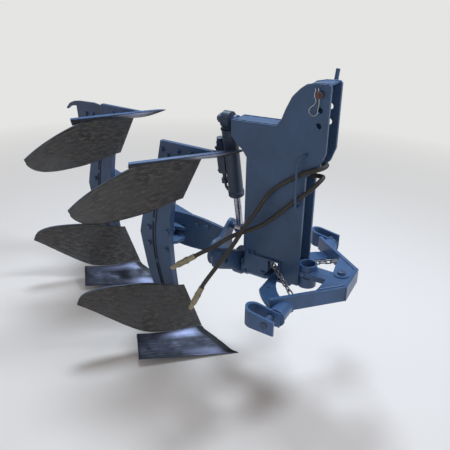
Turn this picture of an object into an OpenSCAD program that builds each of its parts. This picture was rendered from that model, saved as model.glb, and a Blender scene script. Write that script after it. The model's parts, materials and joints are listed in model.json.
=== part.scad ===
// Reversible two-furrow mounted moldboard plough, in millimetres.
// Plough frame: X forward to the tractor, Y to the left, Z up from the floor.
// Its zero is the tip of the front lower share; place() moves it to the centre of the floor area.
// The lower bodies stand on the floor and the upper ones are their mirror image about the turnover axis.

/* [Turnover] */
// Height of the turnover axis over the floor
axis_z = 505; // [480:1:560]
// Radius of the turnover shaft
shaft_r = 30; // [24:1:34]
// Running clearance round a shaft or pin
running_gap = 0.05; // [0.02:0.01:0.1]
// Front end of the turnover shaft
shaft_front = 134; // [120:1:138]
// Radius of the thrust flange on the shaft
flange_r = 54; // [44:1:60]
// Thickness of the thrust flange
flange_t = 16; // [10:1:20]
// Rear end of the bearing housing
housing_rear = 52; // [50:1:70]
// Half width of the bearing housing
housing_half = 62; // [56:1:80]
// Outer radius of the bearing housing
housing_r = 50; // [44:1:56]
// Height of the housing's top over the axis
housing_top = 78; // [60:1:90]
// Front face of the crank plate
crank_x = -127; // [-135:1:-122]
// Thickness of the crank plate
crank_t = 16; // [10:1:20]
// Sideways place of the crank pin from the axis
crank_y = 118; // [100:1:150]
// Height of the crank pin over the axis
crank_z = 90; // [60:1:110]
// Radius of the crank plate round the shaft
crank_hub_r = 62; // [50:1:70]
// Radius of the crank plate's end
crank_end_r = 32; // [26:1:38]
// Reach of the stop arm from the axis
stop_reach = 222; // [200:1:228]
// Width of the stop arm
stop_width = 84; // [60:1:90]
// Rise of the stop arm towards its end, in degrees
stop_rise = 25; // [15:1:32]
// Front face of the stop arm
stop_front = 16; // [10:1:20]
// Thickness of the stop arm
stop_t = 32; // [16:1:36]
// Radius of the stop screws
stop_screw_r = 11; // [8:1:13]

/* [Tower] */
// Thickness of each tower plate
plate_t = 12; // [8:1:16]
// Half of the gap between the tower plates
gap_half = 40; // [36:1:46]
// Rear edge of the tower column
column_rear = 38; // [34:1:44]
// Front edge of the tower column
column_front = 302; // [290:1:310]
// Height of the column's lower front edge
column_foot = 496; // [488:1:498]
// Height of the front notch below the chin
chin_low = 967; // [950:1:980]
// Front of the ear
ear_front = 375; // [365:1:385]
// Height of the ear's lower front corner
ear_low = 1077; // [1065:1:1090]
// Height of the ear's top
ear_top = 1329; // [1322:1:1345]
// Height of the arm's top at the ear
arm_top = 1149; // [1140:1:1160]
// Rear end of the arm
arm_rear = -38; // [-46:1:-36]
// Height of the arm's rear top corner
arm_rear_top = 1141; // [1135:1:1150]
// Height of the arm's rear lower corner
arm_rear_low = 1076; // [1066:1:1084]
// Thickness of the closing strip over the arm and ear
strip_t = 8; // [6:1:12]
// Radius of a top-link hole
link_hole_r = 12.7; // [12.5:0.1:13]
// Distance of the top-link holes along the tower
link_hole_x = 337; // [333:1:341]
// Spacing of the top-link holes
link_pitch = 58; // [50:1:62]
// Radius of the top-link pin
link_pin_r = 12.5; // [12:0.1:12.6]
// Length of the top-link pin past the far plate
link_pin_far = 22; // [20:1:40]
// Length of the top-link pin past the near plate
link_pin_near = 12; // [8:1:20]
// Height of the pin's handle
link_handle = 73; // [60:1:90]
// Thickness of the base tongue
tongue_t = 24; // [18:1:26]
// Height of the tongue's top
tongue_top = 557; // [550:1:560]
// Outer radius of the foot socket
socket_r = 39; // [36:1:40]
// Inner radius of the foot socket
socket_bore_r = 31; // [26:1:33]
// Place of the foot socket ahead of the column's front
socket_ahead = 18; // [14:1:24]
// Height of the foot socket's top
socket_top = 585; // [570:1:600]
// Radius of the wire of the chain links
chain_wire = 3.2; // [2.5:0.1:4]
// Outside width of the chain links
chain_w = 22; // [18:1:26]
// Radius of the rod that keeps the hoses on the tower
hook_r = 5; // [4:1:8]

/* [Cylinder] */
// Place of the turnover cylinder along the plough
cylinder_x = -84; // [-88:1:-82]
// Height of the cylinder's top pin
cylinder_pin_z = 1125; // [1115:1:1132]
// Sideways place of the cylinder's top pin
cylinder_pin_y = -4; // [-8:1:0]
// Radius of the cylinder's pins
cylinder_pin_r = 14; // [12:1:16]
// Outer radius of the barrel
barrel_r = 32.5; // [28:0.5:34]
// Distance from the top pin to the barrel's lower end
barrel_len = 365; // [350:1:372]
// Distance from the top pin to the barrel's upper end
barrel_start = 38; // [34:1:44]
// Outer radius of the barrel's eye
barrel_eye_r = 35; // [30:1:37]
// Width of the barrel's eye
barrel_eye_w = 36; // [28:1:40]
// Radius of the rod
rod_r = 16; // [13:1:18]
// Length of the rod from its eye's centre
rod_len = 395; // [380:1:398]
// Outer radius of the rod's eye
rod_eye_r = 28; // [24:1:30]
// Width of the rod's eye
rod_eye_w = 30; // [26:1:34]

/* [Hitch] */
// Place of the pivot bolt along the plough
pivot_x = 468; // [455:1:480]
// Radius of the pivot bolt
pivot_r = 15; // [12:1:18]
// Sideways swing of the hitch frame from straight, in degrees
swing = 7.2; // [0:0.1:12]
// Front of the hitch frame ahead of the pivot
hitch_nose = 42; // [38:1:50]
// Distance of the hitch arms' lines from the pivot, along the plough
arm_line = 118; // [105:1:125]
// Height of the hitch frame's underside
hitch_low = 503; // [501:1:506]
// Height of the hitch arms
arm_h = 62; // [50:1:64]
// Thickness of the hitch arms
arm_t = 15; // [10:1:18]
// Thickness of the hitch plates and the swing band
hitch_plate_t = 12; // [8:1:12]
// Inner radius of the swing band
band_inner = 258; // [250:1:262]
// Outer radius of the swing band
band_outer = 328; // [320:1:330]
// Half angle of the swing band, in degrees
band_half_angle = 64; // [60:1:70]
// Radius of the holes in the swing band
band_hole_r = 9; // [6:0.5:12]
// Place of the lower-link holes behind the pivot
link_back = 162; // [150:1:175]
// Outer face of a link bracket from the centre line
bracket_out = 412; // [405:1:420]
// Outside width of a link bracket
bracket_w = 74; // [68:1:84]
// Thickness of a link bracket
bracket_t = 10; // [8:1:12]
// Length of a link bracket
bracket_len = 124; // [110:1:135]
// Radius of the lower-link holes
lower_hole_r = 14.35; // [14:0.05:14.6]
// Outer radius of the tube between arm and bracket
boss_r = 34; // [26:1:36]

/* [Beam] */
// Slope of the diagonal beam, sideways for each length backwards
beam_slope = 0.372; // [0.34:0.002:0.4]
// Sideways place of the beam where it leaves the crank plate
beam_start_y = 28; // [20:1:34]
// Length of the diagonal beam
beam_len = 1110; // [1080:1:1140]
// Width of the diagonal beam
beam_w = 76; // [60:1:84]
// Height of the diagonal beam
beam_h = 108; // [90:1:112]
// Wall of the diagonal beam
beam_wall = 8; // [6:1:12]
// Front end of the diagonal beam's tube behind the crank plate
beam_front = 272; // [260:1:290]
// Rear end of the flanges on the beam behind the crank plate
flange_end = 420; // [400:1:440]
// Place of the hole in a flange behind the crank plate
flange_hole = 304; // [296:1:320]
// Thickness of the beam's flanges
beam_flange_t = 12; // [8:1:14]
// Thickness of the arched side plate
side_t = 16; // [10:1:18]
// Sideways place of the side plate's near face
side_face = 104; // [98:1:108]
// Half height of the side plate at the crank plate
side_start_h = 60; // [54:1:64]
// Half height of the side plate at its deepest
side_deep_h = 86; // [80:1:90]
// Length of the side plate
side_len = 330; // [320:1:345]

/* [Legs and bodies] */
// Spacing of the bodies along the furrow
body_back = 682; // [660:1:720]
// Spacing of the bodies across the furrow
body_side = 335; // [330:1:350]
// Far face of a leg from the share's tip
leg_face = 12; // [10:1:16]
// Thickness of a leg
leg_t = 20; // [16:1:25]
// Thickness of a leg's front doubler
doubler_t = 12; // [8:1:16]
// Height of a leg's lower end over the share's edge
leg_end = 200; // [190:1:215]
// Reach of a share behind its tip
share_back = 325; // [310:1:345]
// Reach of a share to the side
share_side = 344; // [325:1:350]
// Height of the bevelled edge of a share
share_edge = 3; // [2:0.5:5]
// Rise of the cutting edge from the tip to the wing
share_rise = 33; // [26:1:38]
// Thickness of a share
share_t = 12; // [8:1:14]
// Thickness of a moldboard
board_t = 8; // [6:1:10]
// Hollow of a moldboard across its middle
board_hollow = 22; // [0:1:40]
// Gap between a share and the moldboard over it
seam_gap = 0.6; // [0.4:0.1:1]
// Gap behind a share or moldboard at its seat
seat_gap = 0.3; // [0.2:0.05:0.4]
// Thickness of a landside
landside_t = 12; // [8:1:12]
// Rear end of a landside behind the share's tip
landside_back = 436; // [420:1:450]
// Height of a landside's lower edge at its rear
landside_low = 44; // [35:1:55]
// Height of a landside's upper edge
landside_high = 116; // [105:1:125]
// Rear end of the heel behind the share's tip
heel_back = 712; // [690:1:730]

/* [Hoses] */
// Outer diameter of a hydraulic hose
hose_d = 18; // [14:1:20]
// Radius of the ferrules
ferrule_r = 12; // [10:1:14]
// Length of a hose coupling
coupling_len = 118; // [90:1:120]

/* [Hidden] */
$fn = 64;

paint = [0.24, 0.36, 0.54];
dark_paint = [0.16, 0.22, 0.3];
soil_steel = [0.22, 0.21, 0.19];
bright_steel = [0.5, 0.5, 0.56];
rubber = [0.09, 0.08, 0.08];
zinc = [0.66, 0.62, 0.42];

// Extents of the whole plough, which place the origin
plate_out = gap_half + plate_t;
bracket_ahead = 37;
nose_t = 6;
nose_half = 85;
front_x = pivot_x + (hitch_nose + nose_t) * cos(swing) + nose_half * sin(swing);
rear_x = -body_back - heel_back;
bend_x = -link_back + bracket_ahead - bracket_len + bracket_w / 2;
bend_y = bracket_out - bracket_w / 2;
near_y = bend_x * sin(swing) - bend_y * cos(swing) - bracket_w / 2;
beam_angle = atan(beam_slope);
far_y = beam_start_y + beam_len * sin(beam_angle) + beam_w / 2 * cos(beam_angle);
origin_x = (front_x + rear_x) / 2;
origin_y = (near_y + far_y) / 2;

// The four bodies: distance back, distance to the side, and whether it is the upper one
front_lower = [0, 0, false];
front_upper = [0, 0, true];
rear_lower = [-body_back, body_side, false];
rear_upper = [-body_back, body_side, true];

// The cylinder's tilt and length at rest
crank_drop = cylinder_pin_z - axis_z - crank_z;
crank_aside = crank_y - cylinder_pin_y;
cylinder_tilt = atan2(crank_aside, crank_drop);
cylinder_rest = sqrt(pow(crank_aside, 2) + pow(crank_drop, 2));

// Routes of the hoses, from the ports in the tower round its front edge to the couplings
hose_a_route = [
  [270, 0, 1000], [300, 0, 1008], [330, 0, 1016], [362, -12, 1024], [375, -32, 1026],
  [368, -54, 1020], [346, -64, 1011], [321, -64, 1000], [290, -64, 983], [260, -64, 963],
  [214, -65, 929], [170, -70, 889], [144, -84, 848], [124, -104, 804], [98, -132, 752],
  [81, -160, 706], [58, -190, 650], [32, -220, 597], [9, -245, 552], [-14, -268, 505], [-22, -273, 486]
];
hose_b_route = [
  [270, 0, 960], [300, 0, 964], [330, 0, 968], [357, -16, 974], [365, -38, 974],
  [359, -56, 962], [345, -64, 943], [319, -64, 915], [268, -66, 867], [217, -70, 813],
  [182, -80, 777], [148, -95, 747], [96, -125, 718], [60, -150, 702], [19, -175, 673],
  [-16, -200, 643], [-54, -222, 618], [-82, -238, 598]
];
port_face = 250;
port_z = [1000, 960];

function cross_unit(a, b) = let (c = cross(a, b)) c / norm(c);

function reversed(list) = [for (i = [len(list) - 1:-1:0]) list[i]];

// A point on a cubic curve through its first and last point
function bezier(p, t) =
  pow(1 - t, 3) * p[0] + 3 * pow(1 - t, 2) * t * p[1] + 3 * (1 - t) * t * t * p[2] + pow(t, 3) * p[3];

// Unit normal of a grid of points, pointing to the soil side
function grid_normal(g, i, j) =
  let (
    n = len(g) - 1,
    m = len(g[0]) - 1,
    along = g[min(i + 1, n)][j] - g[max(i - 1, 0)][j],
    up = g[i][min(j + 1, m)] - g[i][max(j - 1, 0)]
  )
  cross_unit(up, along);

// Direction of a route at one of its points
function route_dir(p, i) =
  let (n = len(p) - 1, d = p[min(i + 1, n)] - p[max(i - 1, 0)]) d / norm(d);

// Closed shell between two grids of the same size, front first
module shell(front, back) {
  n = len(front);
  m = len(front[0]);
  points = concat([for (row = front) each row], [for (row = back) each row]);
  function f(i, j) = i * m + j;
  function b(i, j) = n * m + i * m + j;
  faces = concat(
    [for (i = [0:n - 2], j = [0:m - 2]) each [
      [f(i, j), f(i, j + 1), f(i + 1, j + 1)], [f(i, j), f(i + 1, j + 1), f(i + 1, j)],
      [b(i, j), b(i + 1, j + 1), b(i, j + 1)], [b(i, j), b(i + 1, j), b(i + 1, j + 1)]
    ]],
    [for (i = [0:n - 2]) each [
      [f(i, 0), f(i + 1, 0), b(i + 1, 0)], [f(i, 0), b(i + 1, 0), b(i, 0)],
      [f(i, m - 1), b(i + 1, m - 1), f(i + 1, m - 1)], [f(i, m - 1), b(i, m - 1), b(i + 1, m - 1)]
    ]],
    [for (j = [0:m - 2]) each [
      [f(0, j), b(0, j + 1), f(0, j + 1)], [f(0, j), b(0, j), b(0, j + 1)],
      [f(n - 1, j), f(n - 1, j + 1), b(n - 1, j + 1)], [f(n - 1, j), b(n - 1, j + 1), b(n - 1, j)]
    ]]
  );
  polyhedron(points, faces, convexity = 8);
}

// Moldboard: lower and upper edges as two cubic curves each, the surface hollow between them
board_low = [[-214, -2, 74], [-274, -82, 77], [-345, -161, 64], [-391, -217, 89], [-583, -348, 206], [-598, -433, 272]];
board_high = [[-309, -17, 281], [-333, -71, 287], [-389, -146, 327], [-436, -220, 336], [-549, -402, 364], [-600, -424, 301]];
board_steps = 16;
board_rows = 6;

// The second curve of an edge goes on from the first without a kink
function edge_point(c, s) =
  (s < 0.5) ? bezier([c[0], c[1], c[2], c[3]], 2 * s) : bezier([c[3], 2 * c[3] - c[2], c[4], c[5]], 2 * s - 1);

function board_point(s, t) =
  let (
    low = edge_point(board_low, s),
    high = edge_point(board_high, s),
    hollow = board_hollow * 4 * t * (1 - t) * sin(180 * s)
  )
  low + (high - low) * (seam_gap / 150 + t * (1 - seam_gap / 150)) + hollow * [-0.7, 0.7, -0.1];

board_grid = [for (i = [0:board_steps]) [for (j = [0:board_rows]) board_point(i / board_steps, j / board_rows)]];

function pushed(g, d) = [for (i = [0:len(g) - 1]) [for (j = [0:len(g[0]) - 1]) g[i][j] - d * grid_normal(g, i, j)]];

board_back = pushed(board_grid, board_t);

// Share: ruled from the cutting edge to the moldboard's seam, crowned between them
share_seam = [board_low[0], board_low[1], board_low[2], [-407, -258, 95]];
share_steps = 10;
share_rows = 10;
share_crown = 9;
share_relief = 17;

// The share's point stands out from its landside edge, which clears the cylinder
function bump(v) = sin(90 * min(v / 0.2, 1)) * sin(90 * min((1 - v) / 0.25, 1));

function share_point(s, v) =
  let (
    edge = [-share_back * s, -share_side * s, share_edge + share_rise * s],
    seam = bezier(share_seam, s)
  )
  edge + (seam - edge) * v + [0, -share_relief * bump(v) * pow(1 - s, 2), share_crown * sin(180 * v) * (1 - 0.5 * s)];

share_grid = [for (i = [0:share_steps]) [for (j = [0:share_rows]) share_point(i / share_steps, j / share_rows)]];

function share_back_point(g, i, j) =
  let (p = g[i][j] - share_t * grid_normal(g, i, j))
  (j == 0) ? g[i][j] - [0, 0, share_edge] : [p[0], i == 0 ? g[i][j][1] : p[1], max(p[2], 0)];

share_under = [for (i = [0:share_steps]) [for (j = [0:share_rows]) share_back_point(share_grid, i, j)]];

// Where a row of a grid crosses an upright plane along the furrow, in X and Z
function crossing(g, j, y) = [for (i = [0:len(g) - 2]) if (g[i][j][1] >= y && g[i + 1][j][1] < y)
  let (f = (g[i][j][1] - y) / (g[i][j][1] - g[i + 1][j][1]), p = g[i][j] + f * (g[i + 1][j] - g[i][j]))
  [p[0] - seat_gap, p[2] - seat_gap]
];

// All that lies ahead of the back faces of share and moldboard in such a plane
function soil_outline(y) = concat(
  [for (j = [0:share_rows]) each crossing(share_under, j, y)],
  [for (j = [0:board_rows]) each crossing(board_back, j, y)]
);

module place() {
  translate([-origin_x, -origin_y, 0]) children();
}

module at_body(body) {
  translate([body[0], body[1], 0]) {
    if (body[2]) translate([0, 0, 2 * axis_z]) mirror([0, 0, 1]) children();
    else children();
  }
}

module moldboard(body) {
  color(soil_steel) at_body(body) shell(board_grid, board_back);
}

module share(body) {
  color(bright_steel) at_body(body) shell(share_grid, share_under);
}

module soil_room(y) {
  line = soil_outline(y);
  polygon(concat(line, [[100, line[len(line) - 1][1]], [100, -100], [line[0][0], -100]]));
}

// An upright plate from its outline in X and Z, between two sideways places
module upright(y_low, y_high) {
  translate([0, y_high, 0]) rotate([90, 0, 0]) linear_extrude(y_high - y_low) children();
}

module frog(body) {
  color(paint) at_body(body) upright(-leg_face - leg_t, -leg_face) difference() {
    polygon([
      [-140, 26], [-420, 26], [-455, leg_end], [-341, leg_end], [-341, 240], [-240, 240], [-140, 60]
    ]);
    soil_room(-leg_face - leg_t);
  }
}

module landside(body, heel) {
  low_front = 28;
  color(paint) at_body(body) upright(-landside_t, 0) difference() {
    union() {
      polygon([
        [-124, low_front], [-landside_back, landside_low],
        [-landside_back, landside_high], [-160, landside_high], [-124, 60]
      ]);
      if (heel) polygon([
        [-landside_back, landside_low], [-496, 35], [-612, 40], [-650, 46], [-684, 60], [-heel_back, 90],
        [-heel_back + 8, 97], [-676, 76], [-632, 68], [-624, 140], [-landside_back, 146]
      ]);
    }
    soil_room(-landside_t);
  }
}

module leg(body) {
  rear = [[-455, leg_end], [-478, 210], [-521, 330], [-548, 445], [-560, axis_z]];
  front = [[-345, leg_end], [-342, 232], [-364, 379], [-374, axis_z]];
  split = [[-400, leg_end], [-420, 260], [-452, 380], [-464, axis_z]];
  function mirrored(list) = [for (i = [len(list) - 2:-1:0]) [list[i][0], 2 * axis_z - list[i][1]]];
  color(paint) translate([body[0], body[1], 0]) {
    upright(-leg_face - leg_t, -leg_face)
      polygon(concat(rear, mirrored(rear), reversed(concat(front, mirrored(front)))));
    upright(-leg_face - leg_t - doubler_t, -leg_face - leg_t)
      polygon(concat(split, mirrored(split), reversed(concat(front, mirrored(front)))));
  }
}

// Along the beam: X backwards from the crank plate, Y across it
module on_beam() {
  translate([crank_x - crank_t, beam_start_y, axis_z]) rotate([0, 0, 180 - beam_angle]) children();
}

beam_near = beam_w / 2;

module main_beam() {
  color(paint) difference() {
    on_beam() difference() {
      translate([beam_front, -beam_w / 2, -beam_h / 2]) cube([beam_len - beam_front, beam_w, beam_h]);
      translate([beam_front + beam_wall, beam_wall - beam_w / 2, beam_wall - beam_h / 2])
        cube([beam_len, beam_w - 2 * beam_wall, beam_h - 2 * beam_wall]);
    }
    side_room(side_face + side_t);
  }
}

// All that lies before the side plate's rear end, on the near side of one line
module side_room(far) {
  translate([crank_x - crank_t - side_len, far - 400, 0]) cube([side_len + 200, 400, 2 * axis_z]);
}

function side_half(t) = side_start_h + (side_deep_h - side_start_h) * sin(128 * t);

module beam_side_plate() {
  steps = 14;
  top = [for (i = [0:steps]) [side_len * i / steps, side_half(i / steps)]];
  low = [for (i = [steps:-1:0]) [side_len * i / steps, -side_half(i / steps)]];
  color(paint) translate([crank_x - crank_t, side_face, axis_z]) rotate([90, 0, 180])
    linear_extrude(side_t) polygon(concat(top, low));
}

module beam_flange(up) {
  flange_z = up ? beam_h / 2 : -beam_h / 2 - beam_flange_t;
  difference() {
    on_beam() translate([0, 0, flange_z]) linear_extrude(beam_flange_t) difference() {
      translate([beam_front, -beam_near]) square([flange_end - beam_front, beam_w]);
      translate([flange_hole, -9]) circle(14);
    }
    side_room(side_face + side_t);
  }
}

module beam_flanges() {
  color(paint) {
    beam_flange(true);
    beam_flange(false);
  }
}

clamp_t = 16;
clamp_gap = 28;
clamp_rear = 548;

// Front ends of the upper and the lower shelf, from the leg to the side plate
upper_front = [[-470, 0], [-418, 67], [-325, 92], [-340, 120]];
lower_front = [[-378, 0], [-362, 20], [-360, 70], [-380, 120]];

// One shelf between a leg and the beam, cut to the beam and the side plate
module leg_shelf(body, z, front) {
  difference() {
    translate([body[0], body[1] - leg_face, axis_z + z]) linear_extrude(clamp_t)
      polygon(concat([[-clamp_rear, 0]], front, [[front[3][0], 300], [-clamp_rear, 300]]));
    on_beam() translate([-200, -400, -200]) cube([1600, 400 + beam_near, 400]);
    translate([crank_x - crank_t - side_len, side_face, 0]) cube([side_len, 400, 2 * axis_z]);
  }
}

module leg_clamps() {
  color(paint) for (body = [front_lower, rear_lower]) {
    leg_shelf(body, clamp_gap / 2, upper_front);
    leg_shelf(body, -clamp_gap / 2 - clamp_t, lower_front);
  }
}

module turnover_shaft() {
  flange_rear = housing_rear - 5 - flange_t;
  color(paint) translate([0, 0, axis_z]) rotate([0, 90, 0]) {
    translate([0, 0, crank_x]) cylinder(r = shaft_r, h = shaft_front - crank_x);
    translate([0, 0, flange_rear]) cylinder(r = flange_r, h = flange_t);
  }
}

module crank_plate() {
  crank_angle = atan2(crank_z, crank_y);
  reach = sqrt(pow(crank_y, 2) + pow(crank_z, 2));
  color(paint) translate([crank_x - crank_t, 0, axis_z]) rotate([90, 0, 90]) linear_extrude(crank_t) {
    circle(crank_hub_r);
    rotate([0, 0, crank_angle]) {
      translate([0, -crank_end_r]) square([reach, 2 * crank_end_r]);
      translate([reach, 0]) circle(crank_end_r);
    }
    translate([0, -side_start_h]) square([side_face + side_t, 2 * side_start_h]);
  }
}

module stop_arm() {
  half = stop_width / 2;
  corner = 20;
  color(paint) translate([stop_front - stop_t, 0, axis_z]) rotate([90, 0, 90]) linear_extrude(stop_t)
    rotate([0, 0, 180 - stop_rise]) difference() {
      union() {
        circle(crank_hub_r);
        translate([0, -half]) square([stop_reach - corner, stop_width]);
        translate([0, corner - half]) square([stop_reach, stop_width - 2 * corner]);
        translate([stop_reach - corner, half - corner]) circle(corner);
        translate([stop_reach - corner, corner - half]) circle(corner);
      }
      circle(shaft_r + seat_gap);
      translate([stop_reach - 62, 4]) circle(stop_screw_r);
    }
}

// Height on the ear as a share of its rise over the arm
function ear_z(k) = arm_top + k * (ear_top - arm_top);

// Back edge of the ear, from the arm up to its top
ear_curve = [
  [165, arm_top], [184, ear_z(0.144)], [200, ear_z(0.383)], [223, ear_z(0.65)],
  [252, ear_z(0.822)], [278, ear_z(0.928)], [314, ear_z(0.978)], [366, ear_top]
];
link_hole_z = ear_z(0.783);

// Tower plate outline in X and Z
notch_top = 523;
notch_rear = 166;
notch_long = 46;
notch_low = 500;
notch_head = 577;
band_front = 222;
tower_outline = [
  [column_rear, axis_z + housing_top], [shaft_front, axis_z + housing_top], [shaft_front, notch_top],
  [band_front, notch_top], [band_front, column_foot], [column_front, column_foot],
  [column_front, chin_low], [356, 1023], [ear_front, ear_low], [ear_front, ear_z(0.955)],
  for (p = reversed(ear_curve)) p, [arm_rear, arm_rear_top], [arm_rear, arm_rear_low],
  [-7, 1043], [15, 1030], [column_rear, 1000]
];

module link_holes(r) {
  for (k = [0:2]) translate([link_hole_x, link_hole_z - k * link_pitch]) circle(r);
}

module tower_plate(side) {
  y = (side > 0) ? gap_half : -plate_out;
  color(paint) upright(y, y + plate_t) difference() {
    polygon(tower_outline);
    link_holes(link_hole_r);
    if (side < 0) chain_notch();
  }
}

// Closing strip along the arm's top, its rear end and the ear's back, between the plates
strip_path = concat([[arm_rear, arm_rear_top]], ear_curve);

function side_step(a, b, d) = let (v = (b - a) / norm(b - a)) d * [-v[1], v[0]];

function beside(path, d) = [for (i = [0:len(path) - 1])
  let (
    n = len(path) - 1,
    before = side_step(path[max(i - 1, 0)], path[max(i, 1)], 1),
    after = side_step(path[min(i, n - 1)], path[min(i + 1, n)], 1),
    mid = before + after
  )
  path[i] + d * 2 * mid / (mid * mid)
];

module tower_strip() {
  color(paint) {
    upright(-gap_half, gap_half) polygon(concat(strip_path, reversed(beside(strip_path, -strip_t))));
    translate([arm_rear, -gap_half, arm_rear_low]) cube([strip_t, 2 * gap_half, arm_rear_top - arm_rear_low - strip_t - 1]);
  }
}

module column_web() {
  color(dark_paint) translate([column_rear, -gap_half, axis_z + housing_top]) cube([plate_t, 2 * gap_half, 412]);
}

// Open notch in the near plate and cheek, where the chain comes out
module chain_notch() {
  translate([notch_rear, notch_low]) square([notch_long, notch_head - notch_low]);
}

module shaft_housing() {
  length = shaft_front - housing_rear;
  color(paint) {
    difference() {
      union() {
        translate([housing_rear, -housing_half, axis_z]) cube([length, 2 * housing_half, housing_top]);
        translate([housing_rear, 0, axis_z]) rotate([0, 90, 0]) cylinder(r = housing_r, h = length);
      }
      translate([housing_rear - 1, 0, axis_z]) rotate([0, 90, 0])
        cylinder(r = shaft_r + running_gap, h = length + 2);
    }
    for (side = [-1, 1]) upright(side > 0 ? plate_out : -housing_half, side > 0 ? housing_half : -plate_out)
      difference() {
        translate([shaft_front - 1, notch_top])
          square([band_front - shaft_front + 1, axis_z + housing_top - notch_top]);
        if (side < 0) chain_notch();
      }
    for (x = [housing_rear + 12, housing_rear + 38])
      translate([x, -(plate_out + housing_half) / 2, axis_z + housing_top]) cylinder(r = 4.7, h = 14, $fn = 6);
  }
}

socket_x = column_front + socket_ahead;
socket_fit = 0.3;

module tower_tongue() {
  front_half = 36;
  color(paint) translate([0, 0, tongue_top - tongue_t]) linear_extrude(tongue_t) difference() {
    union() {
      polygon([
        [band_front, -gap_half], [column_front + 0.5, -gap_half], [pivot_x, -front_half],
        [pivot_x, front_half], [column_front + 0.5, gap_half], [band_front, gap_half]
      ]);
      translate([pivot_x, 0]) circle(front_half);
    }
    translate([socket_x, 0]) circle(socket_r + socket_fit);
    translate([pivot_x, 0]) circle(pivot_r + running_gap);
  }
}

module foot_socket() {
  low = 486;
  color(paint) translate([socket_x, 0, low]) difference() {
    cylinder(r = socket_r, h = socket_top - low);
    translate([0, 0, -1]) cylinder(r = socket_bore_r, h = socket_top - low + 2);
  }
}

module band_keeper() {
  color(paint) translate([140, -plate_out, column_foot - plate_t]) cube([130, 2 * plate_out, plate_t]);
}

module top_link_pin() {
  handle_r = 8;
  handle_foot = plate_out + 13;
  color(paint) translate([link_hole_x, 0, link_hole_z]) {
    rotate([90, 0, 0]) translate([0, 0, -plate_out - link_pin_far])
      cylinder(r = link_pin_r, h = 2 * plate_out + link_pin_near + link_pin_far);
    translate([0, plate_out + 9, 0]) rotate([90, 0, 0]) cylinder(r = link_pin_r + 9, h = 8);
    rod_between([0, handle_foot, 0], [0, handle_foot + 18, link_handle], handle_r);
  }
}

hook_x = 277;
hook_low = 846;
hook_high = 1030;
hook_out = plate_out + 28;

module rod_between(a, b, r) {
  v = b - a;
  translate(a) rotate([0, acos(v[2] / norm(v)), atan2(v[1], v[0])]) cylinder(r = r, h = norm(v));
}

module hose_hook() {
  x = hook_x;
  route = [
    [x + 3, -plate_out, hook_low], [x + 3, -plate_out - 6, hook_low], [x + 3, -plate_out - 12, hook_low],
    [x + 3, 5 - hook_out, hook_low + 2], [x + 3, -hook_out, hook_low + 14], [x + 2, -hook_out, hook_low + 80],
    [x, -hook_out, hook_high - 12], [x + 5, 3 - hook_out, hook_high + 12], [x + 14, 9 - hook_out, hook_high + 24],
    [x + 22, -plate_out - 10, hook_high + 30], [x + 23, -plate_out - 5, hook_high + 30],
    [x + 23, -plate_out, hook_high + 30]
  ];
  color(paint) tube_along(route, hook_r, [1, 0, 0]);
}

module hose_ports() {
  color(zinc) {
    translate([port_face - 14, -gap_half, 930]) cube([14, 2 * gap_half, 100]);
    for (route = [hose_a_route, hose_b_route]) {
      v = route_dir(route, 0);
      turn = [0, acos(v[2]), atan2(v[1], v[0])];
      translate(route[0]) rotate(turn) translate([0, 0, -20]) cylinder(r = ferrule_r, h = 20);
    }
    for (z = port_z) translate([port_face - 1, 0, z - 3]) rotate([0, 90, 0]) cylinder(r = ferrule_r + 2, h = 8, $fn = 6);
  }
}

module cylinder_pin() {
  reach = 122 + arm_rear;
  color(paint) translate([arm_rear, cylinder_pin_y, cylinder_pin_z]) rotate([0, -90, 0]) {
    cylinder(r = cylinder_pin_r - running_gap, h = reach);
    cylinder(r = cylinder_pin_r + 10, h = 12);
    translate([0, 0, reach - 16]) cylinder(r = cylinder_pin_r + 8, h = 16, $fn = 6);
  }
}

module along_cylinder() {
  translate([cylinder_x, cylinder_pin_y, cylinder_pin_z]) rotate([cylinder_tilt, 0, 0]) children();
}

module cylinder_barrel() {
  bore_start = barrel_start + 18;
  color(dark_paint) along_cylinder() difference() {
    union() {
      translate([-barrel_eye_w / 2, 0, 0]) rotate([0, 90, 0]) cylinder(r = barrel_eye_r, h = barrel_eye_w);
      translate([0, 0, -barrel_len]) cylinder(r = barrel_r, h = barrel_len - barrel_start);
      translate([-barrel_eye_w / 2, -18, -barrel_start - 4]) cube([barrel_eye_w, 36, 20]);
    }
    translate([-barrel_eye_w, 0, 0]) rotate([0, 90, 0]) cylinder(r = cylinder_pin_r, h = 2 * barrel_eye_w);
    translate([0, 0, -barrel_len - 1]) cylinder(r = rod_r + running_gap, h = barrel_len + 1 - bore_start);
  }
}

module reversing_valve() {
  color(dark_paint) along_cylinder() translate([-barrel_r - 36, -18, 0]) {
    translate([0, 0, -260]) cube([36, 36, 132]);
    translate([4, 4, -142]) cube([28, 28, 36]);
    translate([16, 18, -294]) cylinder(r = 9, h = 40);
    translate([16, 18, -312]) cylinder(r = 17, h = 20, $fn = 6);
    translate([16, 18, -108]) cylinder(r = 16, h = 16, $fn = 6);
  }
}

module cylinder_rod() {
  color(bright_steel) along_cylinder() translate([0, 0, -cylinder_rest]) difference() {
    union() {
      translate([-rod_eye_w / 2, 0, 0]) rotate([0, 90, 0]) cylinder(r = rod_eye_r, h = rod_eye_w);
      cylinder(r = rod_r, h = rod_len);
    }
    translate([-rod_eye_w, 0, 0]) rotate([0, 90, 0]) cylinder(r = cylinder_pin_r, h = 2 * rod_eye_w);
  }
}

module crank_pin() {
  rear = crank_x + 3;
  front = cylinder_x + rod_r;
  color(paint) translate([rear, crank_y, axis_z + crank_z]) rotate([0, 90, 0]) {
    cylinder(r = cylinder_pin_r - 0.3, h = front + 14 - rear);
    translate([0, 0, front - rear + seat_gap]) cylinder(r = cylinder_pin_r + 8, h = 10, $fn = 6);
  }
}

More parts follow.
